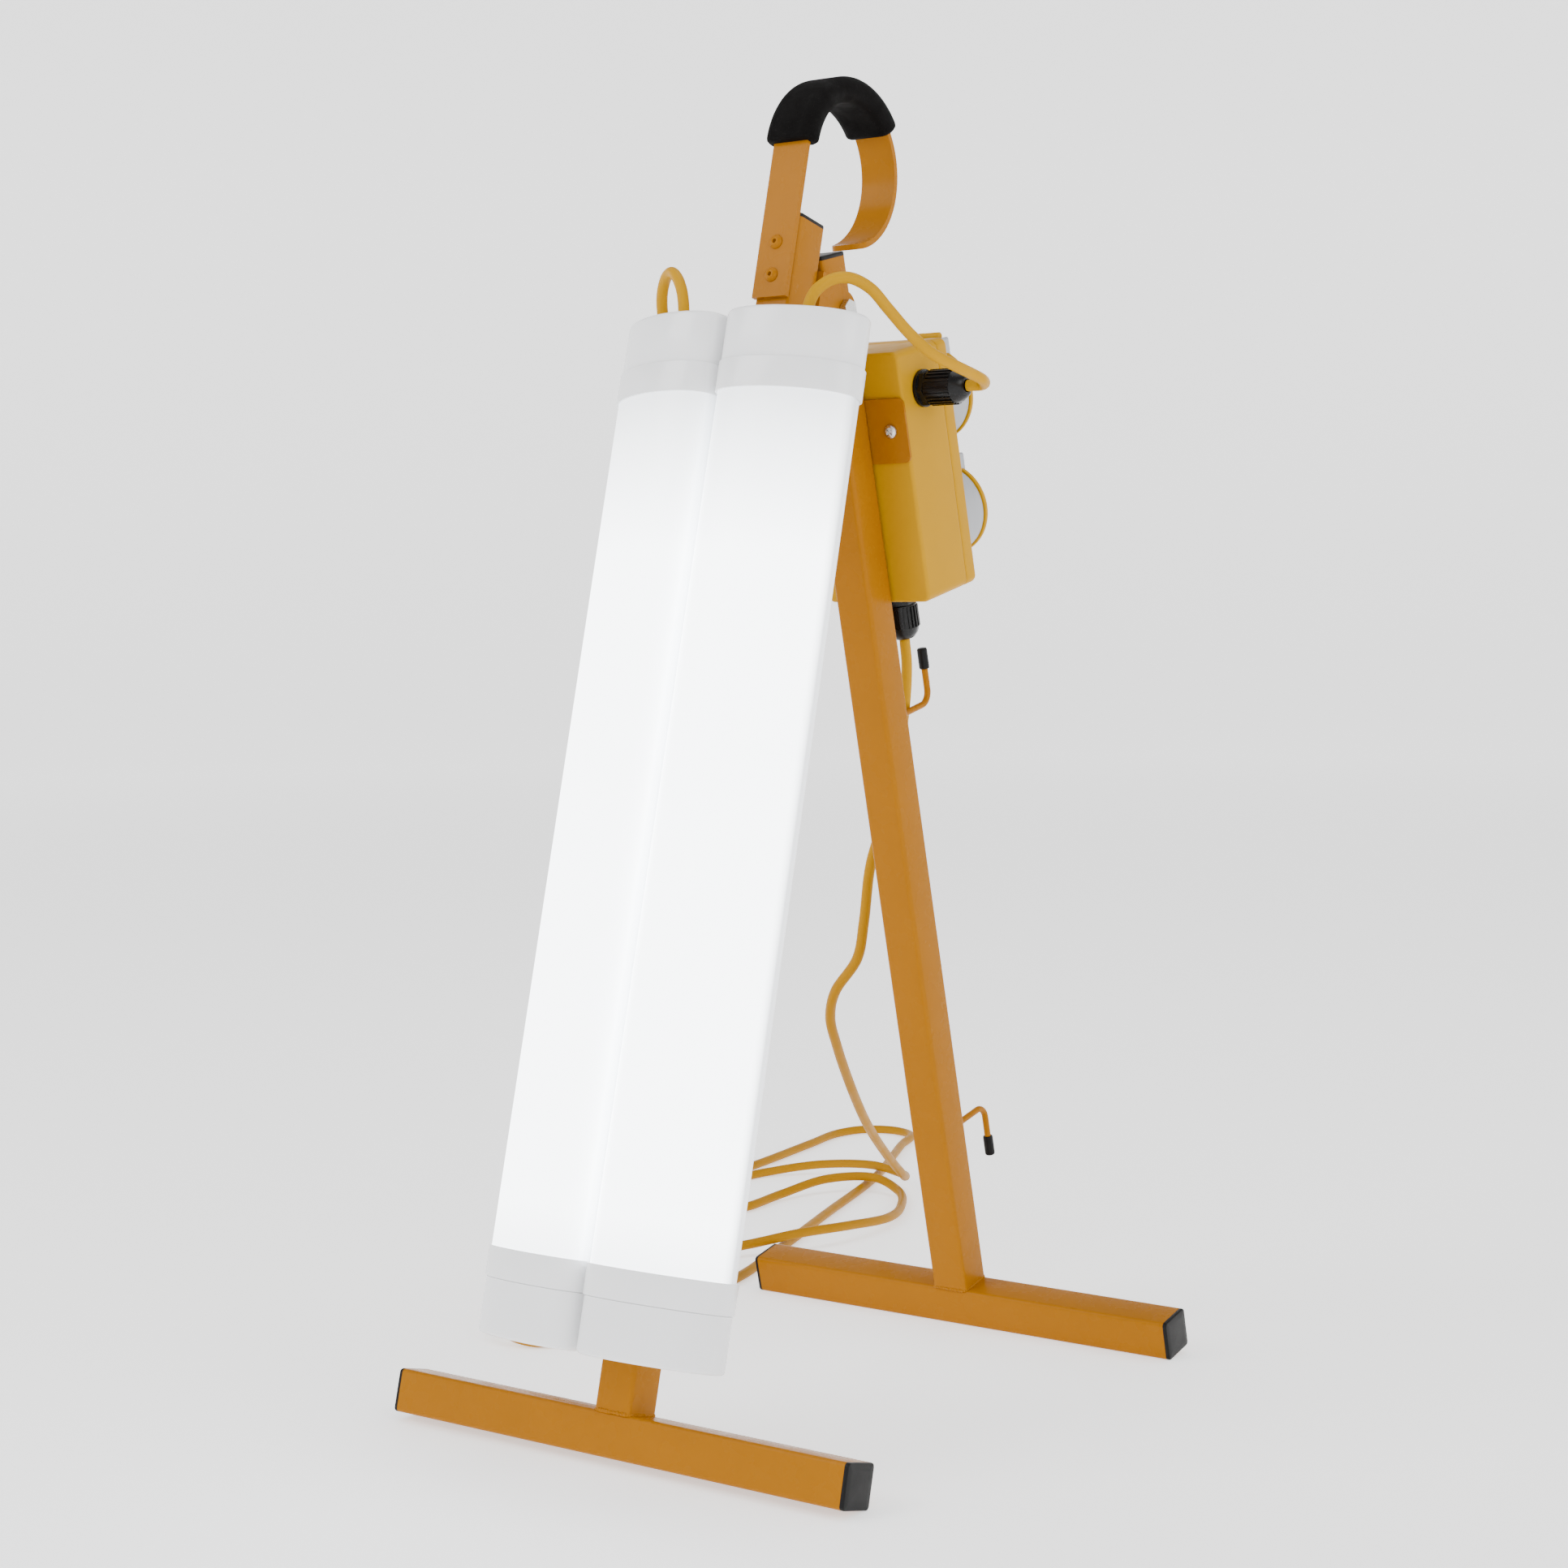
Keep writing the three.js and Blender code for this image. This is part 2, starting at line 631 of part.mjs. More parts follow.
// A cable gland along +Z from the wall at z = 0: a body with a hexagon, and its dome nut.
function gland(prefix, top = GLAND.out) {
  const bore = GLAND.bore;
  const bodyParts = join(
    rod(GLAND.radius, 2.5).translate(0, 0, GAP + 1.25),
    rod(7.2, 7).translate(0, 0, -2),
    hexBar(GLAND.radius - 0.3, GLAND.hex - 2).translate(0, 0, GAP + 1 + GLAND.hex / 2),
    rod(9, 12).translate(0, 0, GLAND.hex + 5),
  );
  const body = cut(bodyParts, rod(bore, 60, 16));
  const bottom = GLAND.hex + 2 * GAP;
  const nutProfile = [
    [0, bottom],
    [GLAND.nut, bottom],
    [GLAND.nut, top - 9],
    [GLAND.nut - 1.6, top - 4.5],
    [GLAND.nut - 4.6, top - 0.8],
    [GLAND.nut - 6.4, top],
    [0, top],
  ];
  const nutHollow = rod(9 + GAP, 2 * (GLAND.hex + 11 + GAP));
  const nut = cut(turned(nutProfile, 12), nutHollow, rod(bore, 2 * top + 4, 16));
  return group(
    mesh(`${prefix}_body`, body, blackPlastic),
    mesh(`${prefix}_nut`, nut, blackPlastic),
  );
}

function boxGlands() {
  const right = gland("gland_right");
  right.rotation.y = 90 * DEG;
  right.position.set(BOX.width / 2, GLAND_BACK, SIDE_GLAND_UP);
  const left = gland("gland_left");
  left.rotation.y = -90 * DEG;
  left.position.set(-BOX.width / 2, GLAND_BACK, SIDE_GLAND_UP);
  const bottom = gland("gland_bottom", BOTTOM_GLAND_OUT);
  bottom.rotation.x = 180 * DEG;
  bottom.position.set(0, GLAND_BACK, BOX.bottom);
  return [right, left, bottom];
}

// ---- Sockets -----------------------------------------------------------------------------
// Each socket is made facing +Y with its flange on y = 0 and its middle at z = 0.
const LID_AXIS_Y = SOCKET.depth + 3;
const SOCKET_FLOOR = 7;

// One of the two ears that hold the lid's pin.
function lidEar(side) {
  const y = SOCKET.depth;
  const ear = new THREE.Shape();
  ear.moveTo(y - 16, 24);
  ear.lineTo(y - 0.5, 24);
  ear.lineTo(y - 0.5, 36);
  ear.lineTo(LID_AXIS_Y + 3, 38.5);
  ear.absarc(LID_AXIS_Y, SOCKET_LID.hinge, 5, -40 * DEG, 100 * DEG);
  ear.lineTo(y - 16, 33);
  const thick = 4.5;
  return acrossX(extrude(ear, thick, 8), thick).translate(side * 16, 0, 0);
}

function socketHousing(name) {
  const s = SOCKET;
  const flange = extrude(roundedRect(s.flangeWidth, s.flangeHeight, 6), s.flange, 3, 1);
  const profile = [
    [0, 1],
    [s.radius, 1],
    [s.radius, 12],
    [s.rim, s.depth - 6],
    [s.rim, s.depth],
    [0, s.depth],
  ];
  const barrel = turned(profile, 28).rotateX(-90 * DEG);
  const mouthLength = s.depth - SOCKET_FLOOR + 2;
  const mouth = crossRod(s.mouth, mouthLength, 28).translate(0, SOCKET_FLOOR + mouthLength / 2, 0);
  const wires = crossRod(8, 20, 12);
  const pinHole = rod(1.9, 60, 12).rotateY(90 * DEG).translate(0, LID_AXIS_Y, SOCKET_LID.hinge);
  const whole = join(alongY(flange, 0, s.flange), barrel, lidEar(-1), lidEar(1));
  return mesh(name, cut(whole, mouth, wires, pinHole), greyPlastic);
}

// The contact carrier: a round insert with two contact holes, an earth hole and a key.
function socketInsert(name) {
  const depth = 17;
  const holeRadius = { 90: 3.4, 210: 2.8, 330: 2.8 };
  const core = crossRod(20, depth).translate(0, depth / 2, 0);
  const key = block(5, depth, 4, 0, depth / 2, -21);
  const holes = Object.entries(holeRadius).map(([angle, radius]) =>
    crossRod(radius, 26, 12).translate(
      12 * Math.cos(angle * DEG),
      depth,
      12 * Math.sin(angle * DEG),
    ),
  );
  const insert = mesh(name, cut(join(core, key), ...holes), blackPlastic);
  insert.position.y = SOCKET_FLOOR + GAP;
  return insert;
}

// A round spring lid with its pin above and a finger lip below; its pin is its own X axis.
function socketLid(name) {
  const { radius, thick, hinge } = SOCKET_LID;
  const profile = [
    [0, 0],
    [radius, 0],
    [radius, thick - 1.5],
    [radius - 2, thick],
    [0, thick],
  ];
  const disc = turned(profile, 32).rotateX(-90 * DEG);
  const arm = block(24, thick - 1, 18, 0, thick / 2 + 0.3, hinge - 10);
  const lip = block(16, thick - 0.6, 8, 0, thick / 2, -radius - 1);
  const barrel = rod(3.2, 26, 12).rotateY(90 * DEG).translate(0, 3 - GAP, hinge);
  const pin = rod(1.5, 38, 12).rotateY(90 * DEG).translate(0, 3 - GAP, hinge);
  const lid = join(disc, arm, lip, barrel, pin).translate(0, GAP - 3, -hinge);
  const piece = mesh(name, lid, yellowPlastic);
  piece.position.set(0, LID_AXIS_Y, hinge);
  return piece;
}

function sockets() {
  return ["lower", "upper"].map((label, index) => {
    const whole = group(
      socketHousing(`socket_${label}_housing`),
      socketInsert(`socket_${label}_insert`),
      socketLid(`socket_${label}_lid`),
    );
    whole.position.set(0, BOX.back + GAP, SOCKET_UP[index]);
    return whole;
  });
}

// ---- Lead hooks on the rear leg ----------------------------------------------------------
const LEAD_HOOK = { rod: 2.5, reach: 66, bend: 9, rise: 38, tip: 3.9, tipLength: 16 };

// A bent rod from the leg's back, turning up for side = 1 and down for side = -1.
function leadHookRod(name, up, side) {
  const corner = LEAD_HOOK.reach - LEAD_HOOK.bend;
  const at = (y, rise) => new THREE.Vector3(0, y, up + side * rise);
  const bend = [at(corner, 0), at(LEAD_HOOK.reach, 0), at(LEAD_HOOK.reach, LEAD_HOOK.bend)];
  const path = new THREE.CurvePath();
  path.add(new THREE.LineCurve3(at(HALF + GAP, 0), bend[0]));
  path.add(new THREE.QuadraticBezierCurve3(...bend));
  path.add(new THREE.LineCurve3(bend[2], at(LEAD_HOOK.reach, LEAD_HOOK.rise)));
  const circle = new THREE.Shape().absarc(0, 0, LEAD_HOOK.rod, 0, 360 * DEG);
  const geometry = new THREE.ExtrudeGeometry(circle, { steps: 20, curveSegments: 4, extrudePath: path });
  return mesh(name, geometry, amberPaint);
}

function leadHookTip(name, up, side) {
  const length = LEAD_HOOK.tipLength;
  const profile = [
    [0, 0],
    [LEAD_HOOK.tip, 0],
    [LEAD_HOOK.tip, length - 2.5],
    [LEAD_HOOK.tip - 1, length - 0.7],
    [LEAD_HOOK.tip - 2.2, length],
    [0, length],
  ];
  const depth = 12;
  const bore = rod(LEAD_HOOK.rod + GAP, 2 * depth, 12);
  const tip = mesh(name, cut(turned(profile, 12), bore), blackPlastic);
  if (side < 0) tip.rotation.x = 180 * DEG;
  tip.position.set(0, LEAD_HOOK.reach, up + side * (LEAD_HOOK.rise + GAP - depth));
  return tip;
}

function leadHooks() {
  return [
    leadHookRod("lead_hook_upper", 468, 1),
    leadHookTip("lead_hook_upper_tip", 468, 1),
    leadHookRod("lead_hook_lower", 137, -1),
    leadHookTip("lead_hook_lower_tip", 137, -1),
  ];
}

// ---- Leads -------------------------------------------------------------------------------
// A round lead along a smooth curve through hand-placed points.
function leadTube(name, points, steps) {
  const path = new THREE.CatmullRomCurve3(points.map((p) => new THREE.Vector3(...p)));
  const corners = Array.from({ length: LEAD_SIDES }, (_, i) => {
    const angle = (i / LEAD_SIDES) * 360 * DEG;
    return new THREE.Vector2(LEAD_RADIUS * Math.cos(angle), LEAD_RADIUS * Math.sin(angle));
  });
  const section = new THREE.Shape(corners);
  return mesh(name, new THREE.ExtrudeGeometry(section, { steps, extrudePath: path }), leadSheath);
}

// Each lamp's lead leaves its upper cap, arches over beside the hinge and turns back into the
// gland on its side of the box.
const lampHole = fromLamp(LEAD_HOLE.x, LEAD_HOLE.y);
const glandMouth = BOX.width / 2 + GLAND.out;
const lampLead = (side, middle) => [
  onFront(side * lampHole.x, lampHole.y, LAMP_UP.top + GAP),
  onFront(side * lampHole.x, lampHole.y, LAMP_UP.top + 8),
  ...middle,
  onRear(side * (glandMouth + 12), GLAND_BACK, SIDE_GLAND_UP),
  onRear(side * (glandMouth + GAP), GLAND_BACK, SIDE_GLAND_UP),
];
const RIGHT_LAMP_LEAD = lampLead(1, [
  [57, -43, 779],
  [64, -33, 787],
  [72, -23, 788],
  [81, -12, 781],
  [88, -2, 768],
  [96, 13, 751],
  [103, 30, 738],
  [108, 49, 731],
  [110, 68, 726],
  [109, 86, 722],
]);
const LEFT_LAMP_LEAD = lampLead(-1, [
  [-58, -43, 785],
  [-67, -37, 797],
  [-78, -30, 802],
  [-89, -23, 798],
  [-97, -17, 786],
  [-101, -10, 771],
  [-102, 2, 757],
  [-104, 16, 747],
  [-107, 34, 738],
  [-109, 52, 731],
  [-110, 70, 726],
  [-109, 87, 722],
]);

// The mains lead hangs out of the bottom gland, past the left of the rear leg, and lies in
// loose loops beside the rear foot. The rest of it is a tied coil with the plug on top.
const MAINS_LEAD = [
  onRear(0, GLAND_BACK, BOX.bottom - BOTTOM_GLAND_OUT - GAP),
  [-1.5, 150.8, 515],
  [-10, 157, 472],
  [-28, 161.5, 408],
  [-45, 162.5, 362],
  [-52.5, 163.5, 318],
  [-61, 166.5, 289],
  [-87, 173, 260],
  [-103, 188, 237],
  [-120, 221, 206],
  [-183, 348, 121],
  [-240, 467, 60],
  [-277, 550, 21],
  [-304, 587, 13],
  [-348, 601, 14],
  [-404, 591, 10],
  [-442, 555, FLOOR_Z],
  [-452, 490, FLOOR_Z],
  [-453, 424, FLOOR_Z],
  [-440.5, 394, FLOOR_Z],
  [-411, 382, FLOOR_Z],
  [-381.5, 394, FLOOR_Z],
  [-369, 424, FLOOR_Z],
  [-369, 480, 6],
  [-352, 531, 13],
  [-316, 556, 14],
  [-281, 546, 7],
  [-249, 502, FLOOR_Z],
  [-226, 445, 8],
  [-225, 385, 13.5],
  [-242, 330, 15],
  [-268, 289, 10],
  [-304, 254, FLOOR_Z],
  [-356, 240, FLOOR_Z],
  [-418, 268, FLOOR_Z],
  [-466, 370, FLOOR_Z],
  [-470, 560, FLOOR_Z],
  [-484, 685, FLOOR_Z],
  [-491, 748, FLOOR_Z],
  [-479, 778, FLOOR_Z],
  [-450, 790, FLOOR_Z],
  [-421, 778, FLOOR_Z],
  [-403, 734, FLOOR_Z],
  [-340, 594, FLOOR_Z],
  [-290, 440, FLOOR_Z],
  [-246, 305, FLOOR_Z],
  [-219, 213, FLOOR_Z],
  [LAYER_END_X, COIL.y + 32, FLOOR_Z],
];

// A short tail from the coil's upper layer round to the plug.
const LEAD_TAIL = [
  [LAYER_END_X, COIL.y - 32, 11],
  [LAYER_END_X, 49, 7],
  [LAYER_END_X, 24, FLOOR_Z],
  [LAYER_END_X, 2, FLOOR_Z],
  [-218.3, -15.6, FLOOR_Z],
  [-231.2, -28.5, 5],
  [-248.8, -33.2, 8],
  [-266.4, -28.5, 14],
  [-279.3, -15.6, 22],
  [PLUG.x, 2, 31],
  [PLUG.x, 24, 39],
  [PLUG.x, PLUG.y - GAP, PLUG.z],
];

function mainsCoil() {
  const height = COIL.top - GAP;
  const points = [
    new THREE.Vector2(COIL.inner, GAP),
    new THREE.Vector2(COIL.outer, GAP),
    new THREE.Vector2(COIL.outer, height),
    new THREE.Vector2(COIL.inner, height),
    new THREE.Vector2(COIL.inner, GAP),
  ];
  const ring = mesh("mains_coil", new THREE.LatheGeometry(points, 36).rotateX(90 * DEG), leadSheath);
  ring.position.set(COIL.x, COIL.y, 0);
  return ring;
}

// The plug lies on the coil, pins towards +Y; both pieces are turned about its own Z.
const PLUG_SPLIT = 88;

function plugBody() {
  const profile = [
    [0, 0],
    [9, 0],
    [11, 8],
    [12.5, 20],
    [15, 23],
    [21, 38],
    [23.5, 52],
    [24, PLUG_SPLIT - 8],
    [22.5, PLUG_SPLIT],
    [0, PLUG_SPLIT],
  ];
  const bore = rod(LEAD_RADIUS + 0.5, 2 * PLUG_SPLIT - 30, 16);
  return mesh("plug_body", cut(turned(profile), bore), yellowPlastic);
}

function plugNose() {
  const from = PLUG_SPLIT + GAP;
  const length = PLUG.length - from;
  const sleeve = rod(22, length).translate(0, 0, from + length / 2);
  const hollow = rod(19.5, length).translate(0, 0, from + 5 + length / 2);
  const pins = [90, 210, 330].map((angle) =>
    rod(angle === 90 ? 3 : 2.5, length - 8, 12).translate(
      12 * Math.cos(angle * DEG),
      12 * Math.sin(angle * DEG),
      from + length / 2 - 2,
    ),
  );
  return mesh("plug_nose", join(cut(sleeve, hollow), ...pins), yellowPlastic);
}

function plug() {
  const whole = group(plugBody(), plugNose());
  whole.rotation.x = -90 * DEG;
  whole.position.set(PLUG.x, PLUG.y, PLUG.z);
  return whole;
}

// ---- Assembly ----------------------------------------------------------------------------
function frontFrame() {
  const frame = group(
    frontLeg(),
    footTube("front_foot", FRONT_FOOT_LENGTH),
    ...footCaps("front_foot", FRONT_FOOT_LENGTH),
    legCap("front_leg_cap", FRONT_LEG_TOP),
    hookStrap(),
    hookGrip(),
    hookRivet("hook_rivet_lower", RIVET_UP[0]),
    hookRivet("hook_rivet_upper", RIVET_UP[1]),
    hingeBracket(),
    hingeBolt(),
    hingeNut(),
    lampBracket("lamp_bracket_lower", BRACKET_UP[0]),
    lampBracket("lamp_bracket_upper", BRACKET_UP[1]),
    lamp(-1),
    lamp(1),
  );
  frame.rotation.x = -FRONT_TILT;
  frame.position.set(0, FRONT_FOOT_Y, FRONT_FOOT_Z);
  return frame;
}

function rearFrame() {
  const frame = group(
    rearLeg(),
    footTube("rear_foot", REAR_FOOT_LENGTH),
    ...footCaps("rear_foot", REAR_FOOT_LENGTH),
    legCap("rear_leg_cap", REAR_LEG_TOP),
    boxPlate(),
    ...plateScrews(),
    boxBody(),
    boxLid(),
    ...lidScrews(),
    terminalBlock(),
    ...boxGlands(),
    ...sockets(),
    ...leadHooks(),
  );
  frame.rotation.x = REAR_TILT;
  frame.position.set(0, REAR_FOOT_Y, REAR_FOOT_Z);
  return frame;
}

const light = group(
  frontFrame(),
  rearFrame(),
  leadTube("lamp_lead_right", RIGHT_LAMP_LEAD, 26),
  leadTube("lamp_lead_left", LEFT_LAMP_LEAD, 26),
  leadTube("mains_lead", MAINS_LEAD, 74),
  mainsCoil(),
  leadTube("lead_tail", LEAD_TAIL, 12),
  plug(),
);
export default light;
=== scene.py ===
"""Twin-lamp site work light on a folding steel A-frame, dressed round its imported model.

Sizes are in millimetres, in the upright frame of each leg, and become metres as a piece is made.
The routes of the leads are in metres, in the frame of the whole light.
"""

import json
import logging
import math
from collections.abc import Callable, Sequence
from dataclasses import dataclass
from enum import Enum

import bmesh
import bpy
from mathutils import Matrix, Vector


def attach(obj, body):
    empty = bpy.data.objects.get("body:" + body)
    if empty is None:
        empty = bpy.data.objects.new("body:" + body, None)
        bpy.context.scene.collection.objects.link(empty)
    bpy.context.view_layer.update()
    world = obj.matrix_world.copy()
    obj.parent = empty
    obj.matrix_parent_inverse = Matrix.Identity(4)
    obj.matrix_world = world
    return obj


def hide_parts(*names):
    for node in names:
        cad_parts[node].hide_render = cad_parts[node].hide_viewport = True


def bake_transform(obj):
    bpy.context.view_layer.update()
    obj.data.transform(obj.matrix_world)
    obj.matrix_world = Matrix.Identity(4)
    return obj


log = logging.getLogger("work_light")

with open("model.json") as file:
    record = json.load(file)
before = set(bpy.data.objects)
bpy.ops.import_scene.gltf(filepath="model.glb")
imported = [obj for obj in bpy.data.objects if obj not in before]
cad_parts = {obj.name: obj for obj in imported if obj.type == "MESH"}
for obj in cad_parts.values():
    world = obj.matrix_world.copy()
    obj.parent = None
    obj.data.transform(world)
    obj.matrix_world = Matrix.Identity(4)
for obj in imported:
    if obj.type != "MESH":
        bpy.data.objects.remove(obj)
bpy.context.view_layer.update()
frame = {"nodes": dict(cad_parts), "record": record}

Outline = list[tuple[float, float]]
Profile = Sequence[tuple[float, float]]
Ring = list[Vector]
Section = Callable[[float], Outline]

MM = 0.001
ROUND_STEPS = 72  # points round a large round piece
GAP = 0.3  # between pieces that touch

# Square tube of both legs, how far each leans, and the middle of each foot.
TUBE = 30.0
TUBE_CORNER = 3.0
HALF = TUBE / 2
FRONT_TILT = math.radians(15.0)
REAR_TILT = math.radians(12.6)
FRONT_FOOT = (0.0, -204.4, 17.697)
REAR_FOOT = (0.0, 216.064, 17.329)
FRONT = Matrix.Translation(FRONT_FOOT) @ Matrix.Rotation(-FRONT_TILT, 4, "X")
REAR = Matrix.Translation(REAR_FOOT) @ Matrix.Rotation(REAR_TILT, 4, "X")

# Turns of a shape that is made along Z.
ALONG_X = Matrix.Rotation(math.radians(90.0), 4, "Y")
ALONG_Y = Matrix.Rotation(math.radians(-90.0), 4, "X")
DOWNWARD = Matrix.Rotation(math.radians(180.0), 4, "X")

# The leads, in metres: the centre line's height on the floor, and the pitch of the coil's turns.
LEAD_RADIUS = 0.0041
FLOOR_Z = 0.0046
LEAD_PITCH = 0.0084

# Nodes inside the box and the lamps, whose CAD shape is kept.
CARRIED_OVER = ("terminal_block", "lamp_left_carrier", "lamp_right_carrier")

# The mains lead from the bottom gland, past the rear leg and round its loose loops to the coil.
MAINS_ROUTE = [
    (0, 0.146, 0.5373),
    (-0.0015, 0.1508, 0.515),
    (-0.01, 0.157, 0.472),
    (-0.028, 0.1615, 0.408),
    (-0.045, 0.1625, 0.362),
    (-0.0525, 0.1635, 0.318),
    (-0.061, 0.1665, 0.289),
    (-0.087, 0.173, 0.26),
    (-0.103, 0.188, 0.237),
    (-0.12, 0.221, 0.206),
    (-0.183, 0.348, 0.121),
    (-0.24, 0.467, 0.06),
    (-0.277, 0.55, 0.021),
    (-0.304, 0.587, 0.013),
    (-0.348, 0.601, 0.014),
    (-0.404, 0.591, 0.01),
    (-0.442, 0.555, 0.0046),
    (-0.452, 0.49, 0.0046),
    (-0.453, 0.424, 0.0046),
    (-0.4405, 0.394, 0.0046),
    (-0.411, 0.382, 0.0046),
    (-0.3815, 0.394, 0.0046),
    (-0.369, 0.424, 0.0046),
    (-0.369, 0.48, 0.006),
    (-0.352, 0.531, 0.013),
    (-0.316, 0.556, 0.014),
    (-0.281, 0.546, 0.007),
    (-0.249, 0.502, 0.0046),
    (-0.226, 0.445, 0.008),
    (-0.225, 0.385, 0.0135),
    (-0.242, 0.33, 0.015),
    (-0.268, 0.289, 0.01),
    (-0.304, 0.254, 0.0046),
    (-0.356, 0.24, 0.0046),
    (-0.418, 0.268, 0.0046),
    (-0.466, 0.37, 0.0046),
    (-0.47, 0.56, 0.0046),
    (-0.484, 0.685, 0.0046),
    (-0.491, 0.748, 0.0046),
    (-0.479, 0.778, 0.0046),
    (-0.45, 0.79, 0.0046),
    (-0.421, 0.778, 0.0046),
    (-0.403, 0.734, 0.0046),
    (-0.34, 0.594, 0.0046),
    (-0.29, 0.44, 0.0046),
    (-0.246, 0.305, 0.0046),
    (-0.219, 0.213, 0.0046),
    (-0.2136, 0.141, 0.0046),
]

# Its last stretch, from the coil's upper layer round to the tail of the plug.
TAIL_ROUTE = [
    (-0.2136, 0.077, 0.011),
    (-0.2136, 0.049, 0.007),
    (-0.2136, 0.024, 0.0046),
    (-0.2136, 0.002, 0.0046),
    (-0.2183, -0.0156, 0.0046),
    (-0.2312, -0.0285, 0.005),
    (-0.2488, -0.0332, 0.008),
    (-0.2664, -0.0285, 0.014),
    (-0.2793, -0.0156, 0.022),
    (-0.284, 0.002, 0.031),
    (-0.284, 0.024, 0.039),
    (-0.284, 0.0467, 0.0418),
]

# The lamps' own leads, from the cap over to the gland on the same side of the box.
RIGHT_LAMP_ROUTE = [
    (0.0537, -0.0493, 0.7612),
    (0.0537, -0.0473, 0.7686),
    (0.057, -0.043, 0.779),
    (0.064, -0.033, 0.787),
    (0.072, -0.023, 0.788),
    (0.081, -0.012, 0.781),
    (0.088, -0.002, 0.768),
    (0.096, 0.013, 0.751),
    (0.103, 0.03, 0.738),
    (0.108, 0.049, 0.731),
    (0.11, 0.068, 0.726),
    (0.109, 0.086, 0.722),
    (0.096, 0.1051, 0.72),
    (0.0843, 0.1051, 0.72),
]
LEFT_LAMP_ROUTE = [
    (-0.0537, -0.0493, 0.7612),
    (-0.0537, -0.0473, 0.7686),
    (-0.058, -0.043, 0.785),
    (-0.067, -0.037, 0.797),
    (-0.078, -0.03, 0.802),
    (-0.089, -0.023, 0.798),
    (-0.097, -0.017, 0.786),
    (-0.101, -0.01, 0.771),
    (-0.102, 0.002, 0.757),
    (-0.104, 0.016, 0.747),
    (-0.107, 0.034, 0.738),
    (-0.109, 0.052, 0.731),
    (-0.11, 0.07, 0.726),
    (-0.109, 0.087, 0.722),
    (-0.096, 0.1051, 0.72),
    (-0.0843, 0.1051, 0.72),
]


class Body(Enum):
    """The bodies that move against each other."""

    FRONT = "front_frame"
    REAR = "rear_frame"
    LOWER_LID = "lower_lid"
    UPPER_LID = "upper_lid"


class Side(Enum):
    """The left or right of the light, seen from the side that the lamps face."""

    LEFT = -1
    RIGHT = 1

    @property
    def label(self) -> str:
        """The word used in names of pieces."""
        return self.name.lower()


# ---- Finishes ------------------------------------------------------------------------------

NOISE_RANGE = (0.3, 0.7)  # where most of a noise's values lie


class NodeTree:
    """Adds and joins the nodes of one tree."""

    prefix = ""

    def __init__(self, tree: bpy.types.NodeTree) -> None:
        """Takes the tree to fill.

        Args:
            tree: the tree.
        """
        self.tree = tree

    def feed(self, socket: bpy.types.NodeSocket, value: object) -> None:
        """Links an output to an input, or sets the input to a constant.

        Args:
            socket: the input.
            value: the output or the constant.
        """
        if isinstance(value, bpy.types.NodeSocket):
            self.tree.links.new(value, socket)
        else:
            socket.default_value = value

    def add(self, kind: str, settings: dict | None = None, **values: object) -> bpy.types.Node:
        """Adds a node.

        Args:
            kind: the node's type, without the prefix of this class.
            settings: properties of the node.
            values: constants or output sockets for its inputs, named with _ for a space.

        Returns:
            The new node.
        """
        node = self.tree.nodes.new(self.prefix + kind)
        for key, value in (settings or {}).items():
            setattr(node, key, value)
        for key, value in values.items():
            self.feed(node.inputs[key.replace("_", " ")], value)
        return node


class ShaderNodes(NodeTree):
    """The nodes of one material."""

    prefix = "ShaderNode"

    def __init__(self, material: bpy.types.Material) -> None:
        """Empties the material's tree.

        Args:
            material: the material to fill.
        """
        material.use_nodes = True
        super().__init__(material.node_tree)
        self.tree.nodes.clear()

    def noise(self, where: bpy.types.NodeSocket, scale: float, detail: float = 3.0) -> bpy.types.NodeSocket:
        """Adds a noise pattern.

        Args:
            where: the coordinates it reads.
            scale: cells per metre.
            detail: octaves of finer noise.

        Returns:
            The noise value, about 0.5 on average.
        """
        return self.add("TexNoise", Vector=where, Scale=scale, Detail=detail).outputs["Fac"]

    def ramp(
        self, value: bpy.types.NodeSocket, start: float, end: float, low: float, high: float
    ) -> bpy.types.NodeSocket:
        """Maps a range of one value to another range, held at its ends.

        Args:
            value: the socket to map.
            start: value that gives low.
            end: value that gives high.
            low: result at start.
            high: result at end.

        Returns:
            The mapped value's socket.
        """
        node = self.add("MapRange", Value=value, From_Min=start, From_Max=end, To_Min=low, To_Max=high)
        return node.outputs["Result"]

    def blend(self, amount: object, first: object, second: object) -> bpy.types.NodeSocket:
        """Mixes two colours.

        Args:
            amount: share of the second colour.
            first: colour at 0.
            second: colour at 1.

        Returns:
            The mixed colour's socket.
        """
        node = self.tree.nodes.new("ShaderNodeMix")
        node.data_type = "RGBA"
        factor, color_a, color_b = (node.inputs[index] for index in (0, 6, 7))
        self.feed(factor, amount)
        self.feed(color_a, first)
        self.feed(color_b, second)
        return node.outputs[2]

    def combine(self, operation: str, first: object, second: object) -> bpy.types.NodeSocket:
        """Combines two values.

        Args:
            operation: the Math node's operation.
            first: its first value.
            second: its second value.

        Returns:
            The result's socket.
        """
        node = self.add("Math", {"operation": operation})
        for socket, value in zip(node.inputs, (first, second)):
            self.feed(socket, value)
        return node.outputs[0]


def rgba(color: tuple[float, float, float], factor: float = 1.0) -> tuple[float, float, float, float]:
    """Scales a colour and adds full alpha.

    Args:
        color: linear red, green and blue.
        factor: brightness.

    Returns:
        The colour with alpha 1.
    """
    red, green, blue = (min(1.0, part * factor) for part in color)
    return (red, green, blue, 1.0)


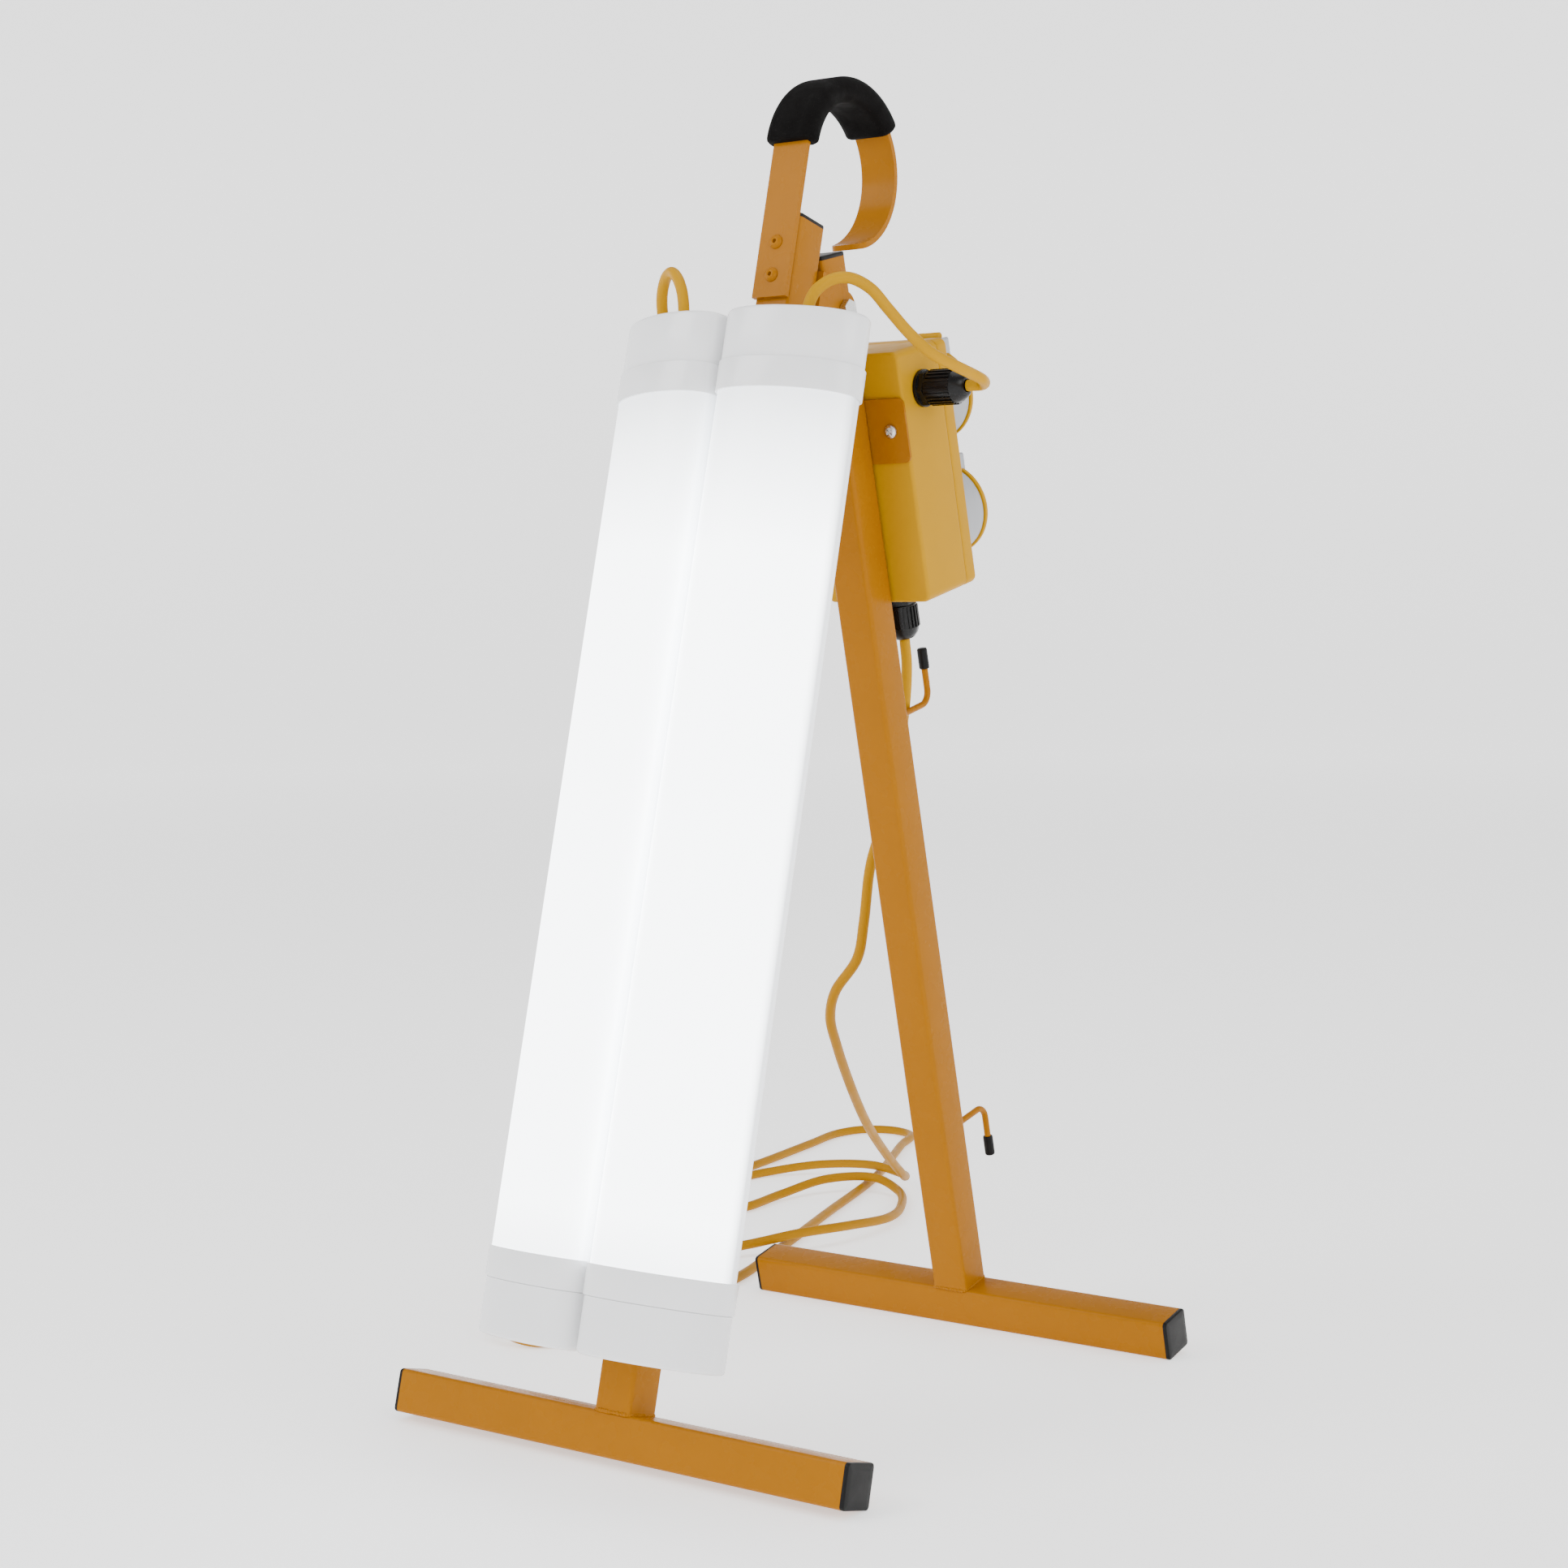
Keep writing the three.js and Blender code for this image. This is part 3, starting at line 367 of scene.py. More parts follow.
@dataclass(frozen=True)
class Finish:
    """A smooth or finely grained surface whose tone and gloss vary a little over it."""

    name: str
    slot: str
    color: tuple[float, float, float]
    roughness: float
    metallic: float = 0.0
    grain: float = 900.0
    grain_height: float = 0.06
    mottle: float = 0.06
    patch: float = 22.0
    shine: float = 0.3
    glow: float = 0.0

    def material(self) -> bpy.types.Material:
        """Makes the material, once.

        Returns:
            The material of this finish.
        """
        known = bpy.data.materials.get(self.name)
        if known:
            return known
        made = bpy.data.materials.new(self.name)
        nodes = ShaderNodes(made)
        where = nodes.add("TexCoord").outputs["Object"]
        shader = nodes.add(
            "BsdfPrincipled",
            Base_Color=self.tone(nodes, where),
            Metallic=self.metallic,
            Roughness=self.gloss(nodes, where),
            Normal=self.relief(nodes, where),
            Specular_IOR_Level=self.shine,
            Emission_Color=rgba(self.color),
            Emission_Strength=self.glow,
        )
        self.extras(nodes, where, shader)
        nodes.add("OutputMaterial", Surface=shader.outputs["BSDF"])
        made.diffuse_color = rgba(self.color)
        return made

    def tone(self, nodes: ShaderNodes, where: bpy.types.NodeSocket) -> bpy.types.NodeSocket:
        """Varies the colour in soft patches.

        Args:
            nodes: the material's nodes.
            where: object coordinates.

        Returns:
            The colour's socket.
        """
        patches = nodes.noise(where, self.patch)
        amount = nodes.ramp(patches, *NOISE_RANGE, 0.0, 1.0)
        return nodes.blend(amount, rgba(self.color, 1 - self.mottle), rgba(self.color, 1 + self.mottle))

    def gloss(self, nodes: ShaderNodes, where: bpy.types.NodeSocket) -> bpy.types.NodeSocket:
        """Varies the roughness as handling does.

        Args:
            nodes: the material's nodes.
            where: object coordinates.

        Returns:
            The roughness socket.
        """
        smudges = nodes.noise(where, self.patch * 3, 5.0)
        return nodes.ramp(smudges, *NOISE_RANGE, self.roughness * 0.85, self.roughness * 1.2)

    def relief(self, nodes: ShaderNodes, where: bpy.types.NodeSocket) -> bpy.types.NodeSocket:
        """Gives the surface its fine grain.

        Args:
            nodes: the material's nodes.
            where: object coordinates.

        Returns:
            The normal socket.
        """
        grain = nodes.noise(where, self.grain, 2.0)
        bump = nodes.add("Bump", Strength=self.grain_height, Distance=0.0006, Height=grain)
        return bump.outputs["Normal"]

    def extras(self, nodes: ShaderNodes, where: bpy.types.NodeSocket, shader: bpy.types.Node) -> None:
        """Adds nothing to a plain finish."""


@dataclass(frozen=True)
class PowderCoat(Finish):
    """Baked powder coat: orange peel under the gloss and a few scuffs that show it dull."""

    scuff: float = 0.03

    def tone(self, nodes: ShaderNodes, where: bpy.types.NodeSocket) -> bpy.types.NodeSocket:
        """Darkens small scuffs over the patchy tone.

        Args:
            nodes: the material's nodes.
            where: object coordinates.

        Returns:
            The colour's socket.
        """
        base = super().tone(nodes, where)
        marks = nodes.noise(where, 160.0, 6.0)
        amount = nodes.ramp(marks, 0.70, 0.76, 0.0, self.scuff)
        return nodes.blend(amount, base, rgba(self.color, 0.62))

    def relief(self, nodes: ShaderNodes, where: bpy.types.NodeSocket) -> bpy.types.NodeSocket:
        """Gives the soft waves of orange peel.

        Args:
            nodes: the material's nodes.
            where: object coordinates.

        Returns:
            The normal socket.
        """
        waves = nodes.noise(where, self.grain, 1.0)
        bump = nodes.add("Bump", Strength=self.grain_height, Distance=0.0008, Height=waves)
        return bump.outputs["Normal"]


@dataclass(frozen=True)
class Foam(Finish):
    """Closed-cell foam with a skin of fine open pores."""

    def relief(self, nodes: ShaderNodes, where: bpy.types.NodeSocket) -> bpy.types.NodeSocket:
        """Pits the surface with small pores.

        Args:
            nodes: the material's nodes.
            where: object coordinates.

        Returns:
            The normal socket.
        """
        cells = nodes.add("TexVoronoi", Vector=where, Scale=self.grain).outputs["Distance"]
        creases = nodes.noise(where, self.patch * 4, 4.0)
        fine = nodes.add("Bump", Strength=self.grain_height, Distance=0.0005, Height=cells)
        under = fine.outputs["Normal"]
        bump = nodes.add("Bump", Strength=0.25, Distance=0.002, Height=creases, Normal=under)
        return bump.outputs["Normal"]


@dataclass(frozen=True)
class Sheath(Finish):
    """Rubber sheath of a lead, with painted shade: a deeper tone low down, where the lead lies in shade
    near the floor.
    """

    # painted shade: the darker tone the lead is given low down, near the floor
    low_color: tuple[float, float, float] = (0.35, 0.158, 0.0)

    def tone(self, nodes: ShaderNodes, where: bpy.types.NodeSocket) -> bpy.types.NodeSocket:
        """Paints shade on: deepens the colour towards the floor.

        Args:
            nodes: the material's nodes.
            where: object coordinates.

        Returns:
            The colour's socket.
        """
        height = nodes.add("SeparateXYZ", Vector=where).outputs["Z"]
        # painted shade: full below 0.25 m, fading out by 0.5 m
        amount = nodes.ramp(height, 0.25, 0.5, 1.0, 0.0)
        return nodes.blend(amount, super().tone(nodes, where), rgba(self.low_color))


@dataclass(frozen=True)
class Plated(Finish):
    """Bright zinc plate with fine drawn scratches."""

    def gloss(self, nodes: ShaderNodes, where: bpy.types.NodeSocket) -> bpy.types.NodeSocket:
        """Draws the scratches into the roughness.

        Args:
            nodes: the material's nodes.
            where: object coordinates.

        Returns:
            The roughness socket.
        """
        stretched = nodes.add("Mapping", Vector=where, Scale=(1.0, 1.0, 12.0)).outputs["Vector"]
        scratches = nodes.noise(stretched, self.grain, 4.0)
        return nodes.ramp(scratches, 0.35, 0.65, self.roughness * 0.7, self.roughness * 1.5)


@dataclass(frozen=True)
class LitOpal(Finish):
    """Opal plastic lit from inside, fading over the last stretch beside each cap."""

    tint: tuple[float, float, float] = (0.93, 0.975, 1.0)
    strength: float = 6.0
    top_fade: tuple[float, float] = (0.59, 0.70)
    top_share: float = 0.26
    bottom_fade: tuple[float, float] = (0.105, 0.145)
    bottom_share: float = 0.7
    edge_turn: tuple[float, float] = (-0.45, 0.05)
    edge_share: float = 0.14

    def extras(self, nodes: ShaderNodes, where: bpy.types.NodeSocket, shader: bpy.types.Node) -> None:
        """Makes the plastic glow.

        Args:
            nodes: the material's nodes.
            where: object coordinates.
            shader: the surface shader.
        """
        upright = nodes.add("Mapping", Vector=where, Rotation=(FRONT_TILT, 0.0, 0.0)).outputs["Vector"]
        height = nodes.add("SeparateXYZ", Vector=upright).outputs["Z"]
        up = nodes.combine("ADD", height, FRONT.inverted().translation.z * MM)
        upper = nodes.ramp(up, *self.top_fade, self.strength, self.strength * self.top_share)
        lower = nodes.ramp(up, *self.bottom_fade, self.strength * self.bottom_share, self.strength)
        facing = nodes.add("SeparateXYZ", Vector=nodes.add("TexCoord").outputs["Normal"]).outputs["Y"]
        share = nodes.ramp(facing, *self.edge_turn, 1.0, self.edge_share)
        glow = nodes.combine("MULTIPLY", nodes.combine("MINIMUM", upper, lower), share)
        nodes.feed(shader.inputs["Emission Strength"], glow)
        nodes.feed(shader.inputs["Emission Color"], rgba(self.tint))


AMBER_PAINT = PowderCoat(
    "amber_powder_coat",
    "amber_paint",
    (0.31, 0.113, 0.0),
    0.26,
    grain=420.0,
    grain_height=0.02,
    mottle=0.02,
    shine=0.07,
)
YELLOW_PLASTIC = Finish(
    "yellow_moulding",
    "yellow_plastic",
    (0.46, 0.232, 0.0),
    0.36,
    grain=1800.0,
    grain_height=0.03,
    mottle=0.02,
    shine=0.06,
)
YELLOW_PLUG = Finish(
    "yellow_plug_moulding", "yellow_plug", (0.44, 0.22, 0.0), 0.45, grain=1500.0, shine=0.06
)
# the sheath gets painted shade on its lower stretch, near the floor
YELLOW_LEAD = Sheath("yellow_sheath", "yellow_lead", (0.45, 0.225, 0.0), 0.4, grain=1200.0, shine=0.06)
WHITE_CAP = Finish(
    "white_cap_moulding", "white_cap", (0.86, 0.865, 0.875), 0.2, mottle=0.01, grain_height=0.02, shine=0.5
)
OPAL = LitOpal("lit_opal", "opal_diffuser", (0.85, 0.87, 0.9), 0.25, mottle=0.01, grain_height=0.01)
CARRIER = Plated("extruded_aluminium", "light_carrier", (0.6, 0.61, 0.62), 0.35, metallic=1.0)
BLACK_PLASTIC = Finish(
    "black_moulding", "black_plastic", (0.003, 0.0028, 0.0028), 0.38, grain=1600.0, shine=0.15
)
GLAND_NYLON = Finish("black_nylon", "gland_nylon", (0.003, 0.003, 0.003), 0.28, grain=1400.0, shine=0.25)
FOAM_GRIP = Foam(
    "black_foam", "foam_grip", (0.003, 0.0026, 0.0025), 0.7, grain=1500.0, grain_height=0.4, shine=0.05
)
GREY_PLASTIC = Finish("grey_moulding", "grey_plastic", (0.37, 0.38, 0.40), 0.35, grain=1600.0, mottle=0.02)
ZINC = Plated("zinc_plate", "zinc_steel", (0.62, 0.62, 0.61), 0.25, metallic=1.0, grain=700.0)
FINISHES = [
    AMBER_PAINT,
    YELLOW_PLASTIC,
    YELLOW_PLUG,
    YELLOW_LEAD,
    WHITE_CAP,
    OPAL,
    CARRIER,
    BLACK_PLASTIC,
    GLAND_NYLON,
    FOAM_GRIP,
    GREY_PLASTIC,
    ZINC,
]

# ---- Shapes --------------------------------------------------------------------------------


def circle(radius: float, steps: int = 48) -> Outline:
    """Draws a circle.

    Args:
        radius: its radius.
        steps: its number of points.

    Returns:
        The outline.
    """
    angles = [math.tau * step / steps for step in range(steps)]
    return [(radius * math.cos(angle), radius * math.sin(angle)) for angle in angles]


def rounded_rect(width: float, height: float, radius: float, steps: int = 6) -> Outline:
    """Draws a rectangle with rounded corners.

    Args:
        width: size along the first axis.
        height: size along the second axis.
        radius: corner radius.
        steps: straight pieces in each corner.

    Returns:
        The outline, anticlockwise.
    """
    outline = []
    corners = ((1, 1, 0), (-1, 1, 90), (-1, -1, 180), (1, -1, 270))
    for across, along, start in corners:
        for step in range(steps + 1):
            angle = math.radians(start + 90 * step / steps)
            x = across * (width / 2 - radius) + radius * math.cos(angle)
            y = along * (height / 2 - radius) + radius * math.sin(angle)
            outline.append((x, y))
    return outline


def softened(profile: Profile, radius: float, steps: int = 4) -> list[tuple[float, float]]:
    """Rounds the inner corners of a profile.

    Args:
        profile: the profile's corners.
        radius: how far from each corner the round begins.
        steps: straight pieces in each round.

    Returns:
        The rounded profile, with the same ends.
    """
    rounded = [profile[0]]
    for before, corner, after in zip(profile, profile[1:], profile[2:]):
        here = Vector(corner)
        ends = []
        for neighbour in (before, after):
            arm = Vector(neighbour) - here
            reach = min(radius, arm.length * 0.48)
            ends.append(here + arm.normalized() * reach)
        for step in range(steps + 1):
            share = step / steps
            first = ends[0].lerp(here, share)
            second = here.lerp(ends[1], share)
            rounded.append(tuple(first.lerp(second, share)))
    rounded.append(profile[-1])
    return rounded


def profile_rings(section: Section, profile: Profile) -> list[Ring]:
    """Stacks a section along Z, grown and raised as a profile says.

    Args:
        section: gives the outline for a growth or a radius.
        profile: pairs of growth or radius, and height.

    Returns:
        One ring of points for each pair.
    """
    return [[Vector((x, y, height)) for x, y in section(grow)] for grow, height in profile]


def turned_rings(profile: Profile, steps: int) -> list[Ring]:
    """Turns a profile about Z.

    Args:
        profile: pairs of radius and height.
        steps: points round each ring.

    Returns:
        One ring of points for each pair.
    """
    return profile_rings(lambda radius: circle(radius, steps), profile)


def moved_rings(rings: Sequence[Ring], place: Matrix) -> list[Ring]:
    """Moves rings to another place.

    Args:
        rings: the rings.
        place: the turn and shift.

    Returns:
        The moved rings.
    """
    return [[place @ point for point in ring] for ring in rings]


def swept_rings(line: Sequence[Vector], outlines: Sequence[Outline], side: Vector) -> list[Ring]:
    """Carries outlines along a line without twisting them.

    Args:
        line: the points of the line.
        outlines: one outline for each point.
        side: where the outline's first axis points at the start.

    Returns:
        One ring of points for each point of the line.
    """
    rings = []
    last = len(line) - 1
    for index, (point, outline) in enumerate(zip(line, outlines)):
        ahead = line[min(index + 1, last)] - line[max(index - 1, 0)]
        ahead.normalize()
        side = (side - ahead * side.dot(ahead)).normalized()
        other = ahead.cross(side)
        rings.append([point + side * u + other * v for u, v in outline])
    return rings


def smooth_line(route: Sequence[tuple[float, float, float]], spacing: float) -> list[Vector]:
    """Runs a smooth curve through the points of a route.

    Args:
        route: the points it passes through.
        spacing: distance between the points of the result.

    Returns:
        Evenly spaced points on the curve.
    """
    points = [Vector(point) for point in route]
    first = points[0] * 2 - points[1]
    last = points[-1] * 2 - points[-2]
    padded = [first, *points, last]
    fine = []
    per_span = 24
    for a, b, c, d in zip(padded, padded[1:], padded[2:], padded[3:]):
        before, here, after = ((q - p).length ** 0.5 for p, q in ((a, b), (b, c), (c, d)))
        leave = ((b - a) / before - (c - a) / (before + here) + (c - b) / here) * here
        arrive = ((c - b) / here - (d - b) / (here + after) + (d - c) / after) * here
        for step in range(per_span):
            t = step / per_span
            cubic = (b * 2 - c * 2 + leave + arrive) * t**3
            square = (c * 3 - b * 3 - leave * 2 - arrive) * t**2
            fine.append(cubic + square + leave * t + b)
    fine.append(points[-1])
    return evenly_spaced(fine, spacing)


def evenly_spaced(line: Sequence[Vector], spacing: float) -> list[Vector]:
    """Spaces the points of a line evenly.

    Args:
        line: the points of the line.
        spacing: about how far apart the new points are.

    Returns:
        The new points, with the same two ends.
    """
    spans = [(b - a).length for a, b in zip(line, line[1:])]
    count = max(2, round(sum(spans) / spacing))
    step = sum(spans) / count
    placed = [line[0]]
    walked = 0.0
    for start, end, span in zip(line, line[1:], spans):
        while len(placed) < count and walked + span >= step * len(placed):
            share = (step * len(placed) - walked) / span
            placed.append(start.lerp(end, share))
        walked += span
    placed.append(line[-1])
    return placed


def line_length(line: Sequence[Vector]) -> float:
    """Adds up the length of a line."""
    return sum((b - a).length for a, b in zip(line, line[1:]))


# ---- Making a piece ------------------------------------------------------------------------


def skin(mesh: bmesh.types.BMesh, rings: Sequence[Ring], closed: bool = False) -> list[list]:
    """Makes the wall through a stack of rings.

    Args:
        mesh: takes the wall.
        rings: rings with as many points each.
        closed: whether the wall runs on from the last ring to the first.

    Returns:
        The vertices of each ring.
    """
    loops = [[mesh.verts.new(point) for point in ring] for ring in rings]
    following = [*loops[1:], loops[0]] if closed else loops[1:]
    for low, high in zip(loops, following):
        for index in range(len(low)):
            after = (index + 1) % len(low)
            mesh.faces.new((low[index], low[after], high[after], high[index]))
    return loops


def loft(shells: Sequence[Sequence[Ring]]) -> bmesh.types.BMesh:
    """Skins closed shells, each through a stack of rings with a flat face on both ends.

    Args:
        shells: the rings of each shell.

    Returns:
        The mesh.
    """
    mesh = bmesh.new()
    for rings in shells:
        loops = skin(mesh, rings)
        mesh.faces.new(loops[0][::-1])
        mesh.faces.new(loops[-1])
    return mesh


def in_scene(name: str, data: bpy.types.ID) -> bpy.types.Object:
    """Puts a mesh, light or camera in the scene.

    Args:
        name: the object's name.
        data: what it shows.

    Returns:
        The new object.
    """
    made = bpy.data.objects.new(name, data)
    bpy.context.scene.collection.objects.link(made)
    return made


def add_piece(
    name: str,
    mesh: bmesh.types.BMesh,
    place: Matrix,
    finish: Finish,
    stands_for: Sequence[str] = (),
    sharp: float = 32.0,
) -> bpy.types.Object:
    """Turns a mesh into a finished object with its place in its mesh.

    Args:
        name: the object's name.
        mesh: the shape; it is freed.
        place: turns it into the light's frame, in metres.
        finish: its finish.
        stands_for: CAD nodes that it stands for.
        sharp: edges above this angle, in degrees, stay sharp.

    Returns:
        The new object.
    """
    bmesh.ops.transform(mesh, matrix=place, verts=mesh.verts)
    bmesh.ops.recalc_face_normals(mesh, faces=mesh.faces)
    data = bpy.data.meshes.new(name)
    mesh.to_mesh(data)
    mesh.free()
    data.shade_smooth()
    data.set_sharp_from_angle(angle=math.radians(sharp))
    data.materials.append(finish.material())
    made = in_scene(name, data)
    if stands_for:
        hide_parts(*stands_for)
    log.info("%s: %d faces", name, len(data.polygons))
    return made


def in_metres(*turns: Matrix) -> Matrix:
    """Chains turns made in millimetres and scales the result to metres.

    Args:
        turns: the outermost turn first.

    Returns:
        The whole turn.
    """
    whole = Matrix.Scale(MM, 4)
    for turn in turns:
        whole = whole @ turn
    return whole


def outward(side: Side) -> Matrix:
    """Turns Z to point out of the light on one side."""
    return Matrix.Rotation(math.radians(90.0 * side.value), 4, "Y")


def body_holding(node: str) -> str:
    """Finds the body that a CAD node rides on.

    Args:
        node: the node's name.

    Returns:
        The body's name.
    """
    bodies = frame["record"]["behaviour"]["bodies"]
    return next(body for body, nodes in bodies.items() if node in nodes)


def rounded_copy(node: str, finish: Finish, radius: float = 0.5, sharp: float = 35.0) -> bpy.types.Object:
    """Copies a CAD node and rounds its edges.

    Args:
        node: the node's name.
        finish: its finish.
        radius: how far the rounding reaches from each edge.
        sharp: edges above this angle, in degrees, are rounded.

    Returns:
        The copy, which stands for the node.
    """
    mesh = bmesh.new()
    mesh.from_mesh(frame["nodes"][node].data)
    bmesh.ops.remove_doubles(mesh, verts=mesh.verts, dist=2e-6)
    flat = math.radians(0.3)
    bmesh.ops.dissolve_limit(mesh, angle_limit=flat, verts=mesh.verts, edges=mesh.edges)
    made = add_piece(f"{node}_finished", mesh, Matrix(), finish, [node], sharp)
    rounding = made.modifiers.new("edge_rounding", "BEVEL")
    rounding.width = radius * MM
    rounding.segments = 2
    rounding.limit_method = "ANGLE"
    rounding.angle_limit = math.radians(sharp)
    rounding.harden_normals = True
    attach(made, body_holding(node))
    return made


# ---- Repeated details ----------------------------------------------------------------------

BEAD_SCALE = (0.8, 1.15)  # least and most of a bead's size


class Recipe(NodeTree):
    """A geometry-nodes tree with named inputs, built in code."""

    def __init__(self, name: str, inputs: dict[str, str]) -> None:
        """Makes the tree's sockets.

        Args:
            name: the tree's name.
            inputs: the type of each input but its path and its material, without NodeSocket.
        """
        super().__init__(bpy.data.node_groups.new(name, "GeometryNodeTree"))
        add = self.tree.interface.new_socket
        kinds = {"Geometry": "Geometry", **inputs, "Material": "Material"}
        for label, kind in kinds.items():
            add(label, in_out="INPUT", socket_type="NodeSocket" + kind)
        add("Geometry", in_out="OUTPUT", socket_type="NodeSocketGeometry")
        self.given = self.tree.nodes.new("NodeGroupInput").outputs

    def path_points(self) -> bpy.types.NodeSocket:
        """Spaces Count points evenly along the given path.

        Returns:
            The points' socket.
        """
        curve = self.add("GeometryNodeMeshToCurve", Mesh=self.given["Geometry"]).outputs["Curve"]
        points = self.add("GeometryNodeResampleCurve", Curve=curve, Count=self.given["Count"])
        return points.outputs["Curve"]

    def close(self, instances: bpy.types.NodeSocket) -> None:
        """Ends the tree: real geometry with the given material.

        Args:
            instances: what the tree has made so far.
        """
        real = self.add("GeometryNodeRealizeInstances", Geometry=instances).outputs["Geometry"]
        dressed = self.add("GeometryNodeSetMaterial", Geometry=real, Material=self.given["Material"])
        self.add("NodeGroupOutput", Geometry=dressed.outputs["Geometry"])

    def grow(
        self, name: str, path: Sequence[Vector], place: Matrix, finish: Finish, **values: float
    ) -> bpy.types.Object:
        """Runs the tree on a closed path and keeps the result as a plain mesh.

        Args:
            name: the new object's name.
            path: the path's points.
            place: turns the result into the light's frame, in metres.
            finish: its finish.
            values: the tree's inputs, named with _ for a space.

        Returns:
            The new object.
        """
        data = bpy.data.meshes.new(name + "_path")
        count = len(path)
        edges = [(index, (index + 1) % count) for index in range(count)]
        data.from_pydata([tuple(point) for point in path], edges, [])
        carrier = in_scene(name + "_path", data)
        modifier = carrier.modifiers.new("recipe", "NODES")
        modifier.node_group = self.tree
        given = {**values, "Material": finish.material()}
        for item in self.tree.interface.items_tree:
            key = item.name.replace(" ", "_")
            if item.in_out == "INPUT" and key in given:
                modifier[item.identifier] = given[key]
        evaluated = carrier.evaluated_get(bpy.context.evaluated_depsgraph_get())
        grown = bpy.data.meshes.new_from_object(evaluated)
        bpy.data.objects.remove(carrier)
        mesh = bmesh.new()
        mesh.from_mesh(grown)
        bpy.data.meshes.remove(grown)
        return add_piece(name, mesh, place, finish, sharp=60.0)


def weld_recipe() -> Recipe:
    """Builds the tree for a weld: overlapping round beads along a path.

    Returns:
        The recipe, with inputs Count, Bead radius and Seed.
    """
    recipe = Recipe("weld_bead", {"Count": "Int", "Bead radius": "Float", "Seed": "Int"})
    points = recipe.path_points()
    bead = recipe.add("GeometryNodeMeshIcoSphere", Radius=recipe.given["Bead radius"], Subdivisions=2)
    random = recipe.add("FunctionNodeRandomValue", {"data_type": "FLOAT"}, Seed=recipe.given["Seed"])
    for socket, scale in zip(random.inputs[2:4], BEAD_SCALE):
        recipe.feed(socket, scale)
    beads = recipe.add(
        "GeometryNodeInstanceOnPoints",
        Points=points,
        Instance=bead.outputs["Mesh"],
        Scale=random.outputs[1],
    )
    recipe.close(beads.outputs["Instances"])
    return recipe


def rib_recipe() -> Recipe:
    """Builds the tree for grip ribs: upright bars spaced round a ring, facing outwards.

    Returns:
        The recipe, with inputs Count, Width, Height and Depth.
    """
    kinds = {"Count": "Int", "Width": "Float", "Height": "Float", "Depth": "Float"}
    recipe = Recipe("grip_ribs", kinds)
    points = recipe.path_points()
    size = recipe.add(
        "ShaderNodeCombineXYZ",
        X=recipe.given["Width"],
        Y=recipe.given["Depth"],
        Z=recipe.given["Height"],
    )
    bar = recipe.add("GeometryNodeMeshCube", Size=size.outputs["Vector"]).outputs["Mesh"]
    tangent = recipe.add("GeometryNodeInputTangent").outputs["Tangent"]
    turn = recipe.add("FunctionNodeAlignRotationToVector", {"axis": "X"}, Vector=tangent)
    ribs = recipe.add(
        "GeometryNodeInstanceOnPoints",
        Points=points,
        Instance=bar,
        Rotation=turn.outputs["Rotation"],
    )
    recipe.close(ribs.outputs["Instances"])
    return recipe


# ---- Sub-assemblies ------------------------------------------------------------------------


@dataclass
class TubeFrame:
    """One T-shaped leg: an upright on a foot, black end caps and the weld between them."""

    name: str
    body: Body
    stand: Matrix
    leg_top: float
    foot_length: float
    weld_seed: int
    cap_thick: float = 2.5
    cap_sink: float = 1.0
    cap_crown: float = 0.3
    cap_round: float = 1.1
    weld_radius: float = 1.5
    weld_count: int = 60

    def tube_section(self, grow: float) -> Outline:
        """Gives the square section with its rounded corners."""
        side = TUBE + 2 * grow
        return rounded_rect(side, side, max(0.5, TUBE_CORNER + min(grow, 0.0)))

    def tube(self, name: str, start: float, end: float, turn: Matrix) -> None:
        """Makes one length of tube.

        Args:
            name: the CAD node it stands for.
            start: where it starts on its own axis.
            end: where it ends.
            turn: turns that axis from Z.
        """
        rings = profile_rings(self.tube_section, [(0.0, start), (0.0, end)])
        whole = in_metres(self.stand, turn)
        made = add_piece(f"{name}_tube", loft([rings]), whole, AMBER_PAINT, [name])
        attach(made, self.body.value)

    def cap(self, name: str, place: Matrix) -> None:
        """Makes one end cap.

        Args:
            name: the CAD node it stands for.
            place: puts its underside on the end of the tube, facing out along Z.
        """
        corners = [
            (-3.0, -self.cap_sink),
            (0.0, -self.cap_sink),
            (0.0, self.cap_thick),
            (-5.0, self.cap_thick + self.cap_crown),
        ]
        rings = profile_rings(self.tube_section, softened(corners, self.cap_round))
        whole = in_metres(self.stand, place)
        made = add_piece(f"{name}_cover", loft([rings]), whole, BLACK_PLASTIC, [name])
        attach(made, self.body.value)

    def weld(self) -> None:
        """Lays the weld round the bottom of the upright."""
        outline = rounded_rect(TUBE - 1, TUBE - 1, TUBE_CORNER)
        path = [Vector((x, y, HALF + 0.2)) for x, y in outline]
        made = weld_recipe().grow(
            f"{self.name}_weld",
            path,
            in_metres(self.stand),
            AMBER_PAINT,
            Count=self.weld_count,
            Bead_radius=self.weld_radius,
            Seed=self.weld_seed,
        )
        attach(made, self.body.value)

    def build(self) -> None:
        """Makes the whole leg."""
        reach = self.foot_length / 2
        self.tube(f"{self.name}_leg", HALF + GAP, self.leg_top, Matrix())
        self.tube(f"{self.name}_foot", -reach, reach, ALONG_X)
        self.cap(f"{self.name}_leg_cap", Matrix.Translation((0, 0, self.leg_top + GAP)))
        for side in Side:
            shift = Matrix.Translation((side.value * (reach + GAP), 0, 0))
            self.cap(f"{self.name}_foot_cap_{side.label}", shift @ outward(side))
        self.weld()


